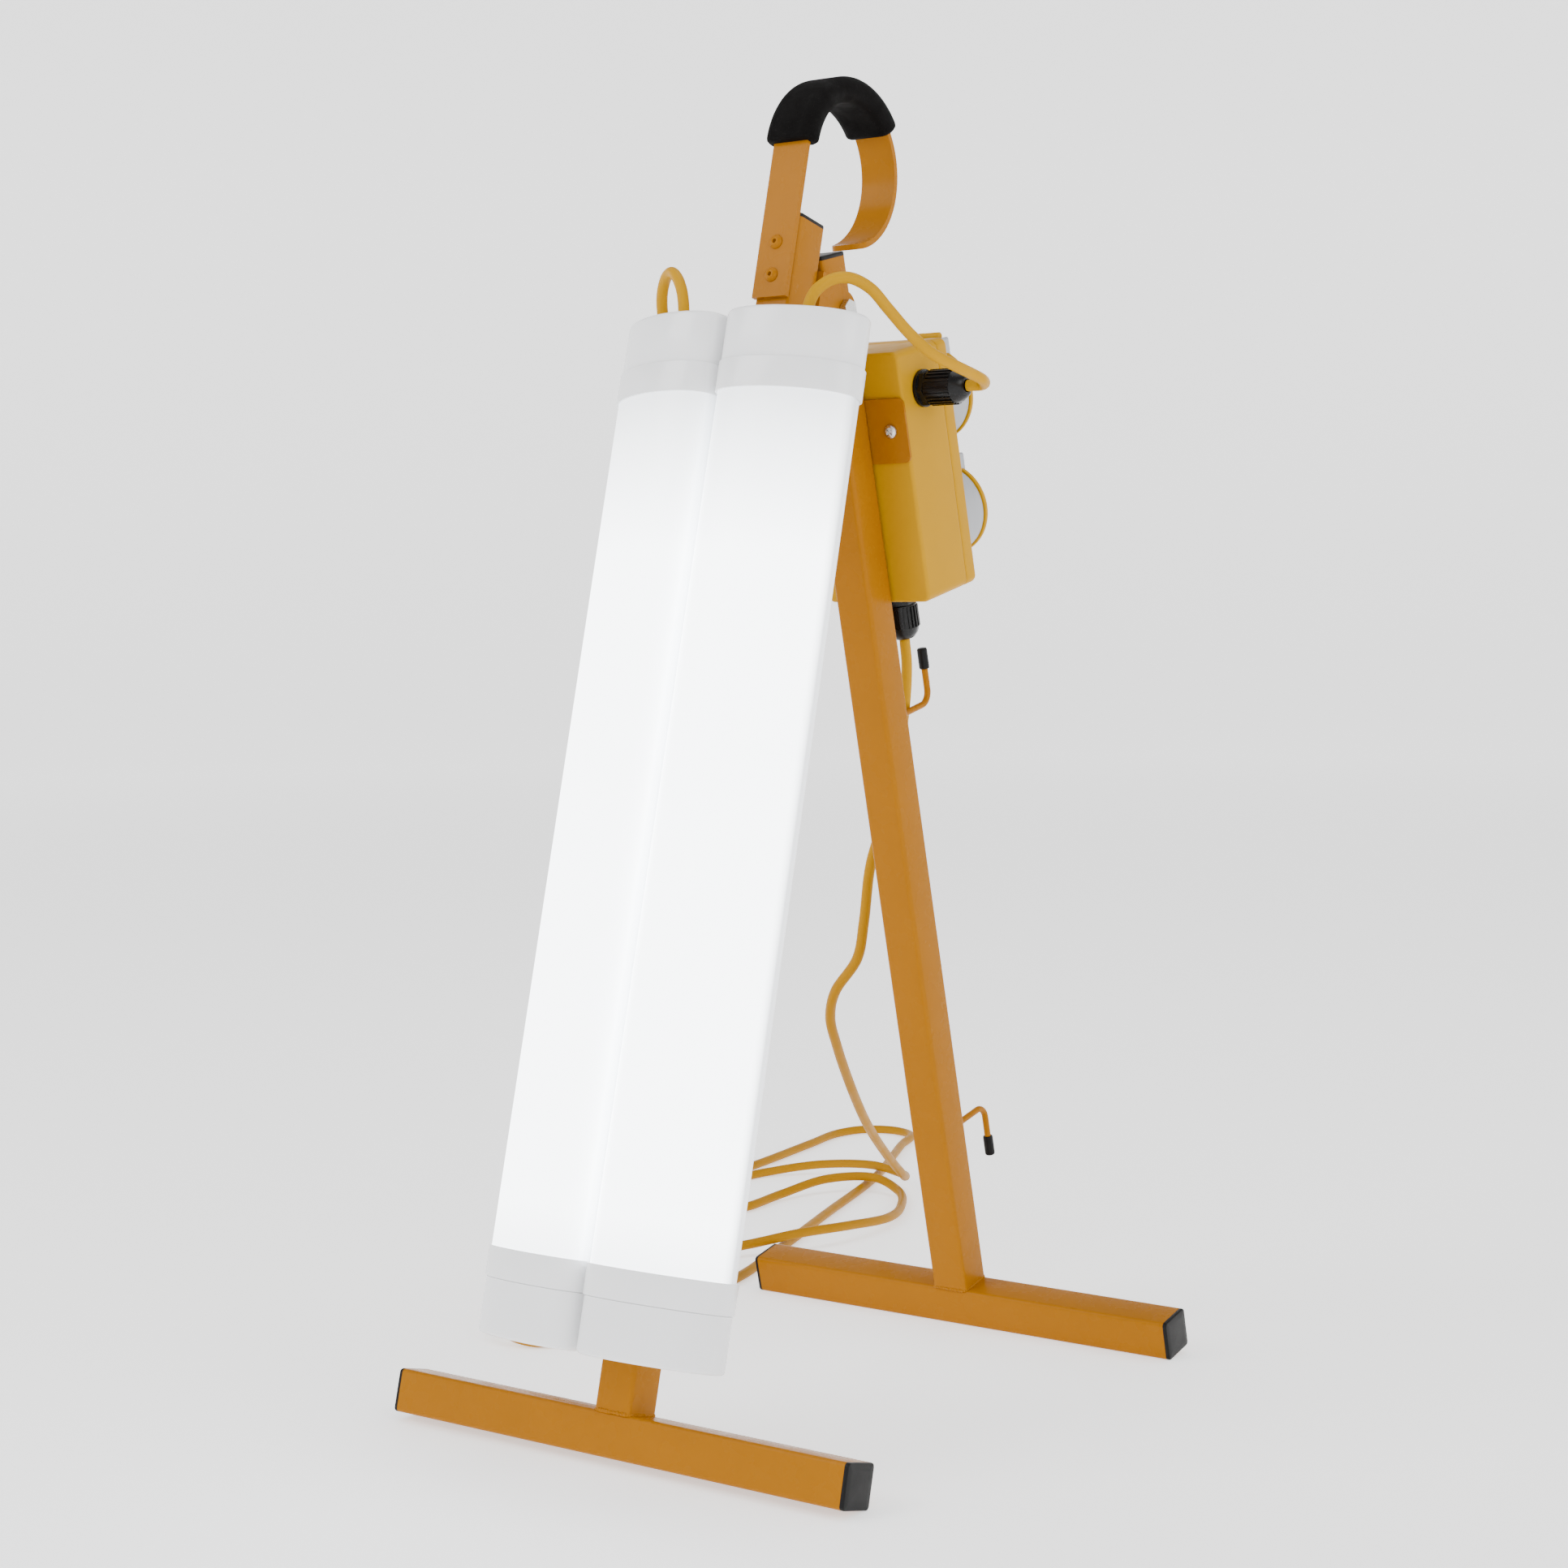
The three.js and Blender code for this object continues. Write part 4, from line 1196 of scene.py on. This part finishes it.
@dataclass
class HangingHook:
    """The flat steel hook with its foam grip and rivets, and the fold hinge under it."""

    strap_front: float = -17.3
    radius: float = 55.3
    centre: float = 899.0
    grip_start: float = 898.0
    grip_end: float = 49.0
    grip_width: float = 41.0
    grip_thick: float = 18.6
    grip_round: float = 8.6
    grip_step: float = 1.5
    end_round: float = 4.0
    end_pull: float = 0.55
    rivet_up: tuple[float, float] = (800.5, 824.5)

    def grip_line(self) -> list[Vector]:
        """Follows the middle of the strap under the grip.

        Returns:
            Evenly spaced points on it.
        """
        back = self.strap_front + self.radius
        line = [Vector((0, self.strap_front, self.grip_start))]
        steps = 60
        for step in range(steps + 1):
            angle = math.radians(180 + (self.grip_end - 180) * step / steps)
            y = back + self.radius * math.cos(angle)
            line.append(Vector((0, y, self.centre + self.radius * math.sin(angle))))
        return evenly_spaced(line, self.grip_step)

    def grip(self) -> None:
        """Makes the foam sleeve with its rounded ends."""
        line = self.grip_line()
        length = line_length(line)
        outlines = []
        for index in range(len(line)):
            along = length * index / (len(line) - 1)
            left = min(along, length - along, self.end_round) / self.end_round
            shrink = self.end_round * self.end_pull * (1 - math.sqrt(1 - (1 - left) ** 2))
            width = self.grip_width - 2 * shrink
            thick = self.grip_thick - 2 * shrink
            outlines.append(rounded_rect(width, thick, self.grip_round - shrink, 8))
        rings = swept_rings(line, outlines, Vector((1, 0, 0)))
        whole = in_metres(FRONT)
        made = add_piece("hook_foam_grip", loft([rings]), whole, FOAM_GRIP, ["hook_grip"], 60.0)
        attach(made, Body.FRONT.value)

    def rivets(self) -> None:
        """Makes the two domed rivets with their punched centres."""
        profile = [(5.2, -0.2), (5.2, 0.3), (4.4, 1.3), (2.9, 2.3), (1.7, 2.5), (1.5, 2.2), (1.4, 0.4)]
        shells = []
        for up in self.rivet_up:
            front = Matrix.Translation((0, self.strap_front - 2 - GAP, up))
            turn = front @ Matrix.Rotation(math.radians(90.0), 4, "X")
            shells.append(moved_rings(turned_rings(softened(profile, 0.4, 3), 32), turn))
        names = ["hook_rivet_lower", "hook_rivet_upper"]
        made = add_piece("hook_rivets", loft(shells), in_metres(FRONT), AMBER_PAINT, names)
        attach(made, Body.FRONT.value)

    def build(self) -> None:
        """Makes the hook and the hinge."""
        rounded_copy("hook_strap", AMBER_PAINT, 0.8, 50.0)
        self.grip()
        self.rivets()
        rounded_copy("hinge_bracket", AMBER_PAINT, 0.6)
        rounded_copy("hinge_bolt", ZINC, 0.4)
        rounded_copy("hinge_nut", ZINC, 0.4)


@dataclass
class Lamps:
    """The two upright lamps: opal diffusers between deep white end caps, on steel brackets."""

    across: float = 51.3
    ahead: float = 48.5
    yaw: float = math.radians(16.2)
    half_width: float = 50.0
    front: float = 23.5
    back: float = 20.0
    bottom: float = 53.4
    lower_step: float = 91.0
    lower_rim: float = 112.0
    upper_rim: float = 700.4
    upper_step: float = 722.0
    top: float = 758.0
    collar_grow: float = 1.8
    cup_grow: float = 0.6
    upper_groove: float = 0.05
    lower_groove: float = 0.9
    tuck: float = 3.0
    lead_hole: tuple[float, float] = (4.0, 5.0)

    def section(self, grow: float) -> Outline:
        """Draws the lamp's section: an ellipse in front and a flatter back.

        Args:
            grow: how far outside the diffuser.

        Returns:
            The outline.
        """
        outline = []
        for x, y in circle(1.0, 128):
            flatter = max(0.0, 1 - abs(x) ** 3) ** (1 / 3)
            depth = y * (self.front + grow) if y < 0 else flatter * (self.back + grow)
            outline.append((x * (self.half_width + grow), depth))
        return outline

    def cap_rings(self, rim: float, step: float, end: float, groove: float) -> list[Ring]:
        """Stacks the rings of a cap, from the inside of its rim to its closed end.

        Args:
            rim: height of its open end.
            step: height of the step between collar and cup.
            end: height of its closed end.
            groove: depth of the fine line at the step.

        Returns:
            The rings.
        """
        out = math.copysign(1.0, end - rim)
        collar, cup = self.collar_grow, self.cup_grow
        profile = [
            (0.1, rim + 8 * out),
            (0.1, rim),
            (collar, rim),
            (collar, step - 0.5 * out),
            (cup - groove, step - 0.4 * out),
            (cup - groove, step),
            (cup, step + 0.1 * out),
            (cup, end),
            (-9.0, end),
        ]
        smoothed = softened(profile[:7], 0.35, 3)[:-1] + softened(profile[6:], 3.2, 7)
        return profile_rings(self.section, smoothed)

    def bush_rings(self, side: Side) -> list[Ring]:
        """Stacks the rings of the small bush round the lead.

        Args:
            side: which lamp.

        Returns:
            The rings.
        """
        corners = [(8.0, self.top - 1), (8.0, self.top + 1.2), (5.0, self.top + 1.8), (3.0, self.top + 1.8)]
        shift = Matrix.Translation((side.value * self.lead_hole[0], self.lead_hole[1], 0))
        return moved_rings(turned_rings(softened(corners, 0.7), 32), shift)

    def lamp(self, side: Side) -> None:
        """Makes one lamp.

        Args:
            side: which lamp.
        """
        spin = Matrix.Rotation(side.value * self.yaw, 4, "Z")
        place = in_metres(FRONT, Matrix.Translation((side.value * self.across, -self.ahead, 0)), spin)
        prefix = f"lamp_{side.label}"
        upper_rings = self.cap_rings(self.upper_rim, self.upper_step, self.top, self.upper_groove)
        lower_rings = self.cap_rings(self.lower_rim, self.lower_step, self.bottom, self.lower_groove)
        ends = (self.lower_step + self.tuck, self.upper_step - self.tuck)
        opal_rings = profile_rings(self.section, [(0.0, height) for height in ends])
        parts = {
            "upper_cap": ([upper_rings, self.bush_rings(side)], WHITE_CAP),
            "lower_cap": ([lower_rings], WHITE_CAP),
            "diffuser": ([opal_rings], OPAL),
        }
        for part, (shells, finish) in parts.items():
            node = f"{prefix}_{part}"
            made = add_piece(f"{node}_shell", loft(shells), place, finish, [node])
            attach(made, Body.FRONT.value)

    def build(self) -> None:
        """Makes both lamps and their brackets."""
        for side in Side:
            self.lamp(side)
        for level in ("lower", "upper"):
            rounded_copy(f"lamp_bracket_{level}", ZINC, 0.5)


@dataclass
class SocketBox:
    """The yellow box on the rear leg, with its plate, screws and glands."""

    width: float = 91.0
    bottom: float = 557.0
    top: float = 741.0
    front: float = 17.6
    split: float = 71.0
    back: float = 84.6
    corner: float = 6.0
    edge_round: float = 3.0
    gland_back: float = 45.0
    side_gland_up: float = 710.0
    side_gland_out: float = 38.5
    bottom_gland_out: float = 34.0
    nut_radius: float = 12.7
    rib_count: int = 24
    rib_width: float = 1.5
    rib_depth: float = 1.1
    rib_margin: float = 9.0

    def shell(self, name: str, profile: Profile, edge: float) -> None:
        """Makes one half of the box.

        Args:
            name: the CAD node it stands for.
            profile: growth and place along Y of its corners.
            edge: radius of its edges.
        """
        height = self.top - self.bottom

        def section(grow: float) -> Outline:
            """Gives the box's outline for a growth."""
            radius = max(1.0, self.corner + grow)
            return rounded_rect(self.width + 2 * grow, height + 2 * grow, radius, 10)

        rings = profile_rings(section, softened(profile, edge, 6))
        middle = Matrix.Translation((0, 0, (self.top + self.bottom) / 2))
        place = in_metres(REAR, middle, ALONG_Y)
        made = add_piece(f"{name}_shell", loft([rings]), place, YELLOW_PLASTIC, [name])
        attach(made, Body.REAR.value)

    def gland(self, node: str, place: Matrix, out: float) -> None:
        """Finishes one gland: its hexagon body and its ribbed dome nut.

        Args:
            node: start of its CAD nodes' names.
            place: puts its wall face at the origin and its axis on Z.
            out: how far it stands out.
        """
        rounded_copy(f"{node}_body", GLAND_NYLON, 0.5)
        rounded_copy(f"{node}_nut", GLAND_NYLON, 0.5)
        path = [Vector((x, y, out / 2)) for x, y in circle(self.nut_radius, 96)]
        ribs = rib_recipe().grow(
            f"{node}_ribs",
            path,
            in_metres(REAR, place),
            GLAND_NYLON,
            Count=self.rib_count,
            Width=self.rib_width,
            Height=out - 2 * self.rib_margin,
            Depth=self.rib_depth,
        )
        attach(ribs, Body.REAR.value)

    def build(self) -> None:
        """Makes the box and everything fixed to it but the sockets."""
        seam = self.split + GAP
        body = [(-9.0, self.front), (0.0, self.front), (0.0, self.split), (-2.0, self.split)]
        lid = [(-2.0, seam), (0.0, seam), (0.0, self.back), (-9.0, self.back)]
        self.shell("box_body", body, self.edge_round)
        self.shell("box_lid", lid, self.edge_round)
        rounded_copy("box_plate", AMBER_PAINT, 0.6)
        for side in Side:
            rounded_copy(f"plate_screw_{side.label}", ZINC, 0.15)
            wall = side.value * self.width / 2
            shift = Matrix.Translation((wall, self.gland_back, self.side_gland_up))
            self.gland(f"gland_{side.label}", shift @ outward(side), self.side_gland_out)
        for index in range(1, 5):
            rounded_copy(f"lid_screw_{index}", ZINC, 0.12)
        under = Matrix.Translation((0, self.gland_back, self.bottom)) @ DOWNWARD
        self.gland("gland_bottom", under, self.bottom_gland_out)


@dataclass
class Socket:
    """One outlet on the back of the box, with its sprung lid."""

    level: str
    up: float
    lid_body: Body
    flange_width: float = 68.0
    flange_height: float = 80.0
    flange: float = 4.0
    flange_corner: float = 6.0
    radius: float = 31.0
    rim: float = 34.0
    depth: float = 39.0
    mouth: float = 27.0
    floor: float = 7.0
    lid_radius: float = 35.5
    lid_thick: float = 4.5
    hinge_up: float = 43.0
    pin_radius: float = 3.2
    pin_length: float = 26.0
    ear_across: float = 16.0
    wall_face: float = 84.9

    def place(self) -> Matrix:
        """Puts the flange's back on the box, with the socket's axis along Z."""
        return in_metres(REAR, Matrix.Translation((0, self.wall_face, self.up)), ALONG_Y)

    def flange_section(self, grow: float) -> Outline:
        """Gives the flange's outline."""
        width = self.flange_width + 2 * grow
        height = self.flange_height + 2 * grow
        return rounded_rect(width, height, max(1.0, self.flange_corner + min(grow, 0)), 8)

    def bar(self, width: float, height: float, at: Vector, low: float, high: float) -> list[Ring]:
        """Stacks the rings of a small rounded bar along Z.

        Args:
            width: its size along X.
            height: its size along Y.
            at: its middle in X and Y.
            low: its start along Z.
            high: its end.

        Returns:
            The rings.
        """

        def section(grow: float) -> Outline:
            """Gives the bar's outline for a growth."""
            outline = rounded_rect(width + 2 * grow, height + 2 * grow, 1.6 + grow, 4)
            return [(x + at.x, y + at.y) for x, y in outline]

        corners = [(-1.0, low), (0.0, low), (0.0, high), (-1.0, high)]
        return profile_rings(section, softened(corners, 0.8, 3))

    def housing(self) -> None:
        """Makes the grey housing with the two ears of its hinge."""
        rim_start = self.depth - 6
        plate = [(-4.0, 0.0), (0.0, 0.0), (0.0, self.flange), (-6.0, self.flange)]
        barrel = [
            (self.mouth, self.floor),
            (self.mouth, self.depth),
            (self.rim, self.depth),
            (self.rim, rim_start),
            (self.radius, 12.0),
            (self.radius, 1.0),
        ]
        wall = softened(barrel, 1.0)
        floor_disc = [(self.mouth + 1, 2.0), (self.mouth + 1, self.floor), (8.0, self.floor)]
        shells = [
            profile_rings(self.flange_section, softened(plate, 1.2)),
            turned_rings([*wall, (self.mouth, wall[-1][1]), wall[0]], ROUND_STEPS),
            turned_rings(floor_disc, ROUND_STEPS),
        ]
        for side in Side:
            at = Vector((side.value * self.ear_across, -34.5, 0))
            shells.append(self.bar(4.5, 15.0, at, 25.0, self.depth + 6.5))
        node = f"socket_{self.level}_housing"
        made = add_piece(f"{node}_shell", loft(shells), self.place(), GREY_PLASTIC, [node])
        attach(made, Body.REAR.value)

    def lid(self) -> None:
        """Makes the yellow lid with its hinge barrel and finger lip."""
        low = self.depth + GAP
        high = low + self.lid_thick
        corners = [
            (self.lid_radius - 2, low),
            (self.lid_radius, low),
            (self.lid_radius, high - 1),
            (self.lid_radius - 3, high),
            (self.lid_radius - 7, high),
            (self.lid_radius - 8, high - 0.7),
            (4.0, high - 0.7),
        ]
        turn = Matrix.Translation((0, -self.hinge_up, self.depth + 3)) @ ALONG_X
        half = self.pin_length / 2
        pin = [(1.0, -half), (self.pin_radius, -half), (self.pin_radius, half), (1.0, half)]
        shells = [
            turned_rings(softened(corners, 0.9), ROUND_STEPS),
            self.bar(24.0, 16.0, Vector((0, -33.5, 0)), low + 0.2, high - 0.6),
            self.bar(16.0, 8.0, Vector((0, self.lid_radius + 1, 0)), low + 0.3, high - 0.3),
            moved_rings(turned_rings(softened(pin, 0.6), 32), turn),
        ]
        node = f"socket_{self.level}_lid"
        made = add_piece(f"{node}_shell", loft(shells), self.place(), YELLOW_PLASTIC, [node])
        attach(made, self.lid_body.value)

    def build(self) -> None:
        """Makes the whole socket."""
        self.housing()
        rounded_copy(f"socket_{self.level}_insert", BLACK_PLASTIC, 0.4)
        self.lid()


@dataclass
class LeadHook:
    """A bent rod on the back of the rear leg that the lead is wound on, with a black tip."""

    level: str
    up: float
    turn: int
    rod: float = 2.5
    reach: float = 66.0
    bend: float = 10.0
    rise: float = 38.0
    tip: float = 3.9
    tip_length: float = 16.0
    tip_depth: float = 12.0

    def build(self) -> None:
        """Makes the rod and its tip."""
        line = [Vector((0, HALF - 1, 0))]
        steps = 12
        for step in range(steps + 1):
            angle = math.radians(90 * step / steps)
            y = self.reach - self.bend + self.bend * math.sin(angle)
            line.append(Vector((0, y, self.bend * (1 - math.cos(angle)))))
        line.append(Vector((0, self.reach, self.rise)))
        rings = swept_rings(line, [circle(self.rod, 24)] * len(line), Vector((1, 0, 0)))
        flip = Matrix.Translation((0, 0, self.up)) @ Matrix.Diagonal((1, 1, self.turn, 1))
        node = f"lead_hook_{self.level}"
        made = add_piece(f"{node}_rod", loft([rings]), in_metres(REAR, flip), AMBER_PAINT, [node])
        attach(made, Body.REAR.value)
        low = self.rise - self.tip_depth
        high = low + self.tip_length
        corners = [(2.6, low), (self.tip, low), (self.tip, high), (0.5, high)]
        shift = Matrix.Translation((0, self.reach, 0))
        rings = turned_rings(softened(corners, 1.6, 6), 32)
        place = in_metres(REAR, flip, shift)
        made = add_piece(f"{node}_tip_cover", loft([rings]), place, BLACK_PLASTIC, [f"{node}_tip"])
        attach(made, Body.REAR.value)


@dataclass
class Leads:
    """The mains lead with its tied coil and plug, and the two short leads to the lamps."""

    coil_centre: tuple[float, float] = (-0.27, 0.109)
    coil_outer: float = 0.0564
    turns: float = 5.0
    steps_per_turn: int = 16
    spacing: float = 0.004
    mains_length: float = 4.91
    tie_ring: float = 46.5
    tie_section: tuple[float, float] = (37.0, 18.2)
    tie_corner: float = 7.0
    tie_thick: float = 0.5
    tie_width: float = 8.0
    plug_tail: tuple[float, float, float] = (-284.0, 47.0, 41.8)

    def coil_route(self) -> list[tuple[float, float, float]]:
        """Winds the coil: inwards on the floor, then outwards on top of that layer.

        Returns:
            The points of its turns.
        """
        half = self.turns / 2
        route = []
        for step in range(round(self.turns * self.steps_per_turn) + 1):
            turn = step / self.steps_per_turn
            radius = self.coil_outer - LEAD_PITCH * (half - abs(turn - half))
            climb = min(1.0, max(0.0, (turn - half + 0.25) / 0.5))
            angle = -math.tau * turn
            x = self.coil_centre[0] + radius * math.cos(angle)
            y = self.coil_centre[1] + radius * math.sin(angle)
            route.append((x, y, FLOOR_Z + LEAD_PITCH * climb))
        return route

    def tube(self, name: str, line: Sequence[Vector], nodes: Sequence[str]) -> bpy.types.Object:
        """Makes a round lead.

        Args:
            name: the piece's name.
            line: its centre line, in metres.
            nodes: the CAD nodes it stands for.

        Returns:
            The lead.
        """
        outline = circle(LEAD_RADIUS, 16)
        rings = swept_rings(line, [outline] * len(line), Vector((1, 0, 0)))
        return add_piece(name, loft([rings]), Matrix(), YELLOW_LEAD, nodes, 60.0)

    def lamp_leads(self) -> None:
        """Makes the two short leads, from the lamp caps to the side glands."""
        for side, route in ((Side.RIGHT, RIGHT_LAMP_ROUTE), (Side.LEFT, LEFT_LAMP_ROUTE)):
            line = smooth_line(route, self.spacing / 2)
            node = f"lamp_lead_{side.label}"
            made = self.tube(f"{node}_tube", line, [node])
            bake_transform(made)

    def tie(self) -> bpy.types.Object:
        """Makes the black tie round the coil.

        Returns:
            The tie.
        """
        across, height = self.tie_section
        half = self.tie_width / 2
        rings = []
        for grow, y in ((0.0, -half), (self.tie_thick, -half), (self.tie_thick, half), (0.0, half)):
            wide = rounded_rect(across + 2 * grow, height + 2 * grow, self.tie_corner + grow, 8)
            rings.append([Vector((x, y, z)) for x, z in wide])
        mesh = bmesh.new()
        skin(mesh, rings, closed=True)
        x, y = (part / MM for part in self.coil_centre)
        middle = Matrix.Translation((x - self.tie_ring, y, height / 2 + self.tie_thick))
        return add_piece("coil_tie", mesh, in_metres(middle), BLACK_PLASTIC)

    def plug(self) -> list[bpy.types.Object]:
        """Makes the plug: a grooved body, a nose sleeve with its pins, and grip ribs.

        Returns:
            Its pieces.
        """
        place = in_metres(Matrix.Translation(self.plug_tail) @ ALONG_Y)
        grooves = [(10.2 + 0.18 * z, z) for z in range(2, 20, 3)]
        strain = [pair for radius, z in grooves for pair in ((radius, z), (radius - 1.0, z + 1.6))]
        grip = [(14.5, 22.0), (20.5, 36.0), (23.5, 52.0), (24.0, 80.0), (22.5, 88.0), (8.0, 88.0)]
        body = [(4.0, 0.0), (9.4, 0.0), *strain, *grip]
        barrel = turned_rings(softened(body, 1.2), 64)
        sleeve = [(19.5, 93.0), (19.5, 128.0), (22.0, 128.0), (22.0, 88.3), (19.5, 88.3), (19.5, 93.0)]
        disc = [(19.6, 88.5), (19.6, 93.0), (3.0, 93.0)]
        nose = [turned_rings(softened(sleeve, 0.7), 64), turned_rings(disc, 64)]
        for degrees, radius in ((90, 3.0), (210, 2.5), (330, 2.5)):
            angle = math.radians(degrees)
            shift = Matrix.Translation((12 * math.cos(angle), 12 * math.sin(angle), 0))
            pin = [(radius, 92.0), (radius, 120.0), (radius - 1, 121.0)]
            nose.append(moved_rings(turned_rings(pin, 20), shift))
        path = [Vector((x, y, 66.0)) for x, y in circle(23.6, 96)]
        size = {"Count": 30, "Width": 2.2, "Height": 24.0, "Depth": 1.6}
        return [
            add_piece("plug_body_shell", loft([barrel]), place, YELLOW_PLUG, ["plug_body"]),
            add_piece("plug_nose_shell", loft(nose), place, YELLOW_PLUG, ["plug_nose"]),
            rib_recipe().grow("plug_ribs", path, place, YELLOW_PLUG, **size),
        ]

    def build(self) -> None:
        """Makes all the leads."""
        route = [*MAINS_ROUTE, *self.coil_route(), *TAIL_ROUTE]
        line = smooth_line(route, self.spacing)
        log.info("mains lead: %.3f m", line_length(line))
        nodes = ["mains_lead", "mains_coil", "lead_tail"]
        mains = self.tube("mains_lead_tube", line, nodes)
        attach(mains, Body.REAR.value)
        on_it = [self.tie(), *self.plug()]
        for piece in on_it:
            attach(piece, Body.REAR.value)
        self.lamp_leads()


# ---- Studio --------------------------------------------------------------------------------


@dataclass(frozen=True)
class Viewpoint:
    """Where the camera stands, from where it looks to."""

    azimuth: float = math.radians(36.179)
    elevation: float = math.radians(4.425)
    roll: float = math.radians(-0.872)
    distance: float = 2.02277
    target: tuple[float, float, float] = (-0.00748, 0.00003, 0.43788)
    lens: float = 65.05
    sensor: float = 36.0

    def build(self) -> None:
        """Places the scene's camera."""
        sin_az, cos_az = math.sin(self.azimuth), math.cos(self.azimuth)
        sin_el, cos_el = math.sin(self.elevation), math.cos(self.elevation)
        back = Vector((sin_az * cos_el, -cos_az * cos_el, sin_el))
        level = Vector((cos_az, sin_az, 0))
        upright = back.cross(level)
        right = level * math.cos(self.roll) + upright * math.sin(self.roll)
        up = back.cross(right)
        data = bpy.data.cameras.new("camera")
        data.lens = self.lens
        data.sensor_width = self.sensor
        camera = in_scene("camera", data)
        turn = Matrix((right, up, back)).transposed().to_4x4()
        camera.matrix_world = Matrix.Translation(Vector(self.target) + back * self.distance) @ turn
        bpy.context.scene.camera = camera


@dataclass(frozen=True)
class Studio:
    """A pale floor that curves up all round, and large soft lights."""

    floor_radius: float = 5.0
    rim_radius: float = 8.0
    rim_height: float = 4.0
    floor_color: tuple[float, float, float] = (0.92, 0.92, 0.92)
    sky: float = 0.6

    def floor(self) -> None:
        """Makes the floor, as a dish with a wide round edge."""
        radius, rim = self.floor_radius, self.rim_radius
        profile = [(0.02, 0.0), (radius, 0.0), (rim, 0.0), (rim, self.rim_height)]
        rounded = softened(profile[1:], rim - radius, 24)
        mesh = bmesh.new()
        loops = skin(mesh, turned_rings([profile[0], *rounded], 96))
        mesh.faces.new(loops[0])
        bmesh.ops.recalc_face_normals(mesh, faces=mesh.faces)
        bmesh.ops.reverse_faces(mesh, faces=mesh.faces)
        data = bpy.data.meshes.new("studio_floor")
        mesh.to_mesh(data)
        mesh.free()
        data.shade_smooth()
        tone = self.floor_color
        paper = Finish("studio_paper", "studio", tone, 0.8, mottle=0.0, grain_height=0.0, glow=0.9)
        data.materials.append(paper.material())
        in_scene("studio_floor", data)

    def lamp(self, name: str, place: tuple[float, float, float], size: float, power: float) -> None:
        """Hangs one soft light that faces the middle of the object.

        Args:
            name: the light's name.
            place: where it hangs.
            size: its side.
            power: its power in watts.
        """
        data = bpy.data.lights.new(name, "AREA")
        data.size = size
        data.energy = power
        light = in_scene(name, data)
        aim = Vector((0.0, 0.0, 0.4)) - Vector(place)
        light.matrix_world = Matrix.Translation(place) @ aim.to_track_quat("-Z", "Y").to_matrix().to_4x4()

    def build(self) -> None:
        """Makes the floor, the lights and the sky."""
        self.floor()
        self.lamp("key_light", (-1.6, -2.4, 2.6), 1.8, 60.0)
        self.lamp("side_light", (2.8, -0.6, 1.7), 1.6, 30.0)
        self.lamp("top_light", (0.2, 0.6, 3.2), 2.4, 36.0)
        world = bpy.data.worlds.new("studio_sky")
        world.use_nodes = True
        world.node_tree.nodes["Background"].inputs["Color"].default_value = (1.0, 1.0, 1.0, 1.0)
        world.node_tree.nodes["Background"].inputs["Strength"].default_value = self.sky
        bpy.context.scene.world = world


def dress_carried_over() -> None:
    """Gives every CAD node that still shows the finish of its material slot."""
    by_slot = {finish.slot: finish for finish in FINISHES}
    slots = {part["node"]: part["material_slot"] for part in frame["record"]["subparts"]}
    for node in CARRIED_OVER:
        materials = frame["nodes"][node].data.materials
        materials.clear()
        materials.append(by_slot[slots[node]].material())
        log.info("%s: dressed", node)


def main() -> None:
    """Builds the light and its studio."""
    logging.basicConfig(level=logging.INFO, format="%(message)s")
    Viewpoint().build()
    Leads().build()
    TubeFrame("front", Body.FRONT, FRONT, leg_top=844.0, foot_length=378.0, weld_seed=3).build()
    TubeFrame("rear", Body.REAR, REAR, leg_top=813.0, foot_length=374.0, weld_seed=8).build()
    HangingHook().build()
    Lamps().build()
    SocketBox().build()
    Socket("lower", 605.0, Body.LOWER_LID).build()
    Socket("upper", 693.0, Body.UPPER_LID).build()
    LeadHook("upper", 468.0, 1).build()
    LeadHook("lower", 137.0, -1).build()
    dress_carried_over()
    Studio().build()


if __name__ == "__main__":
    main()
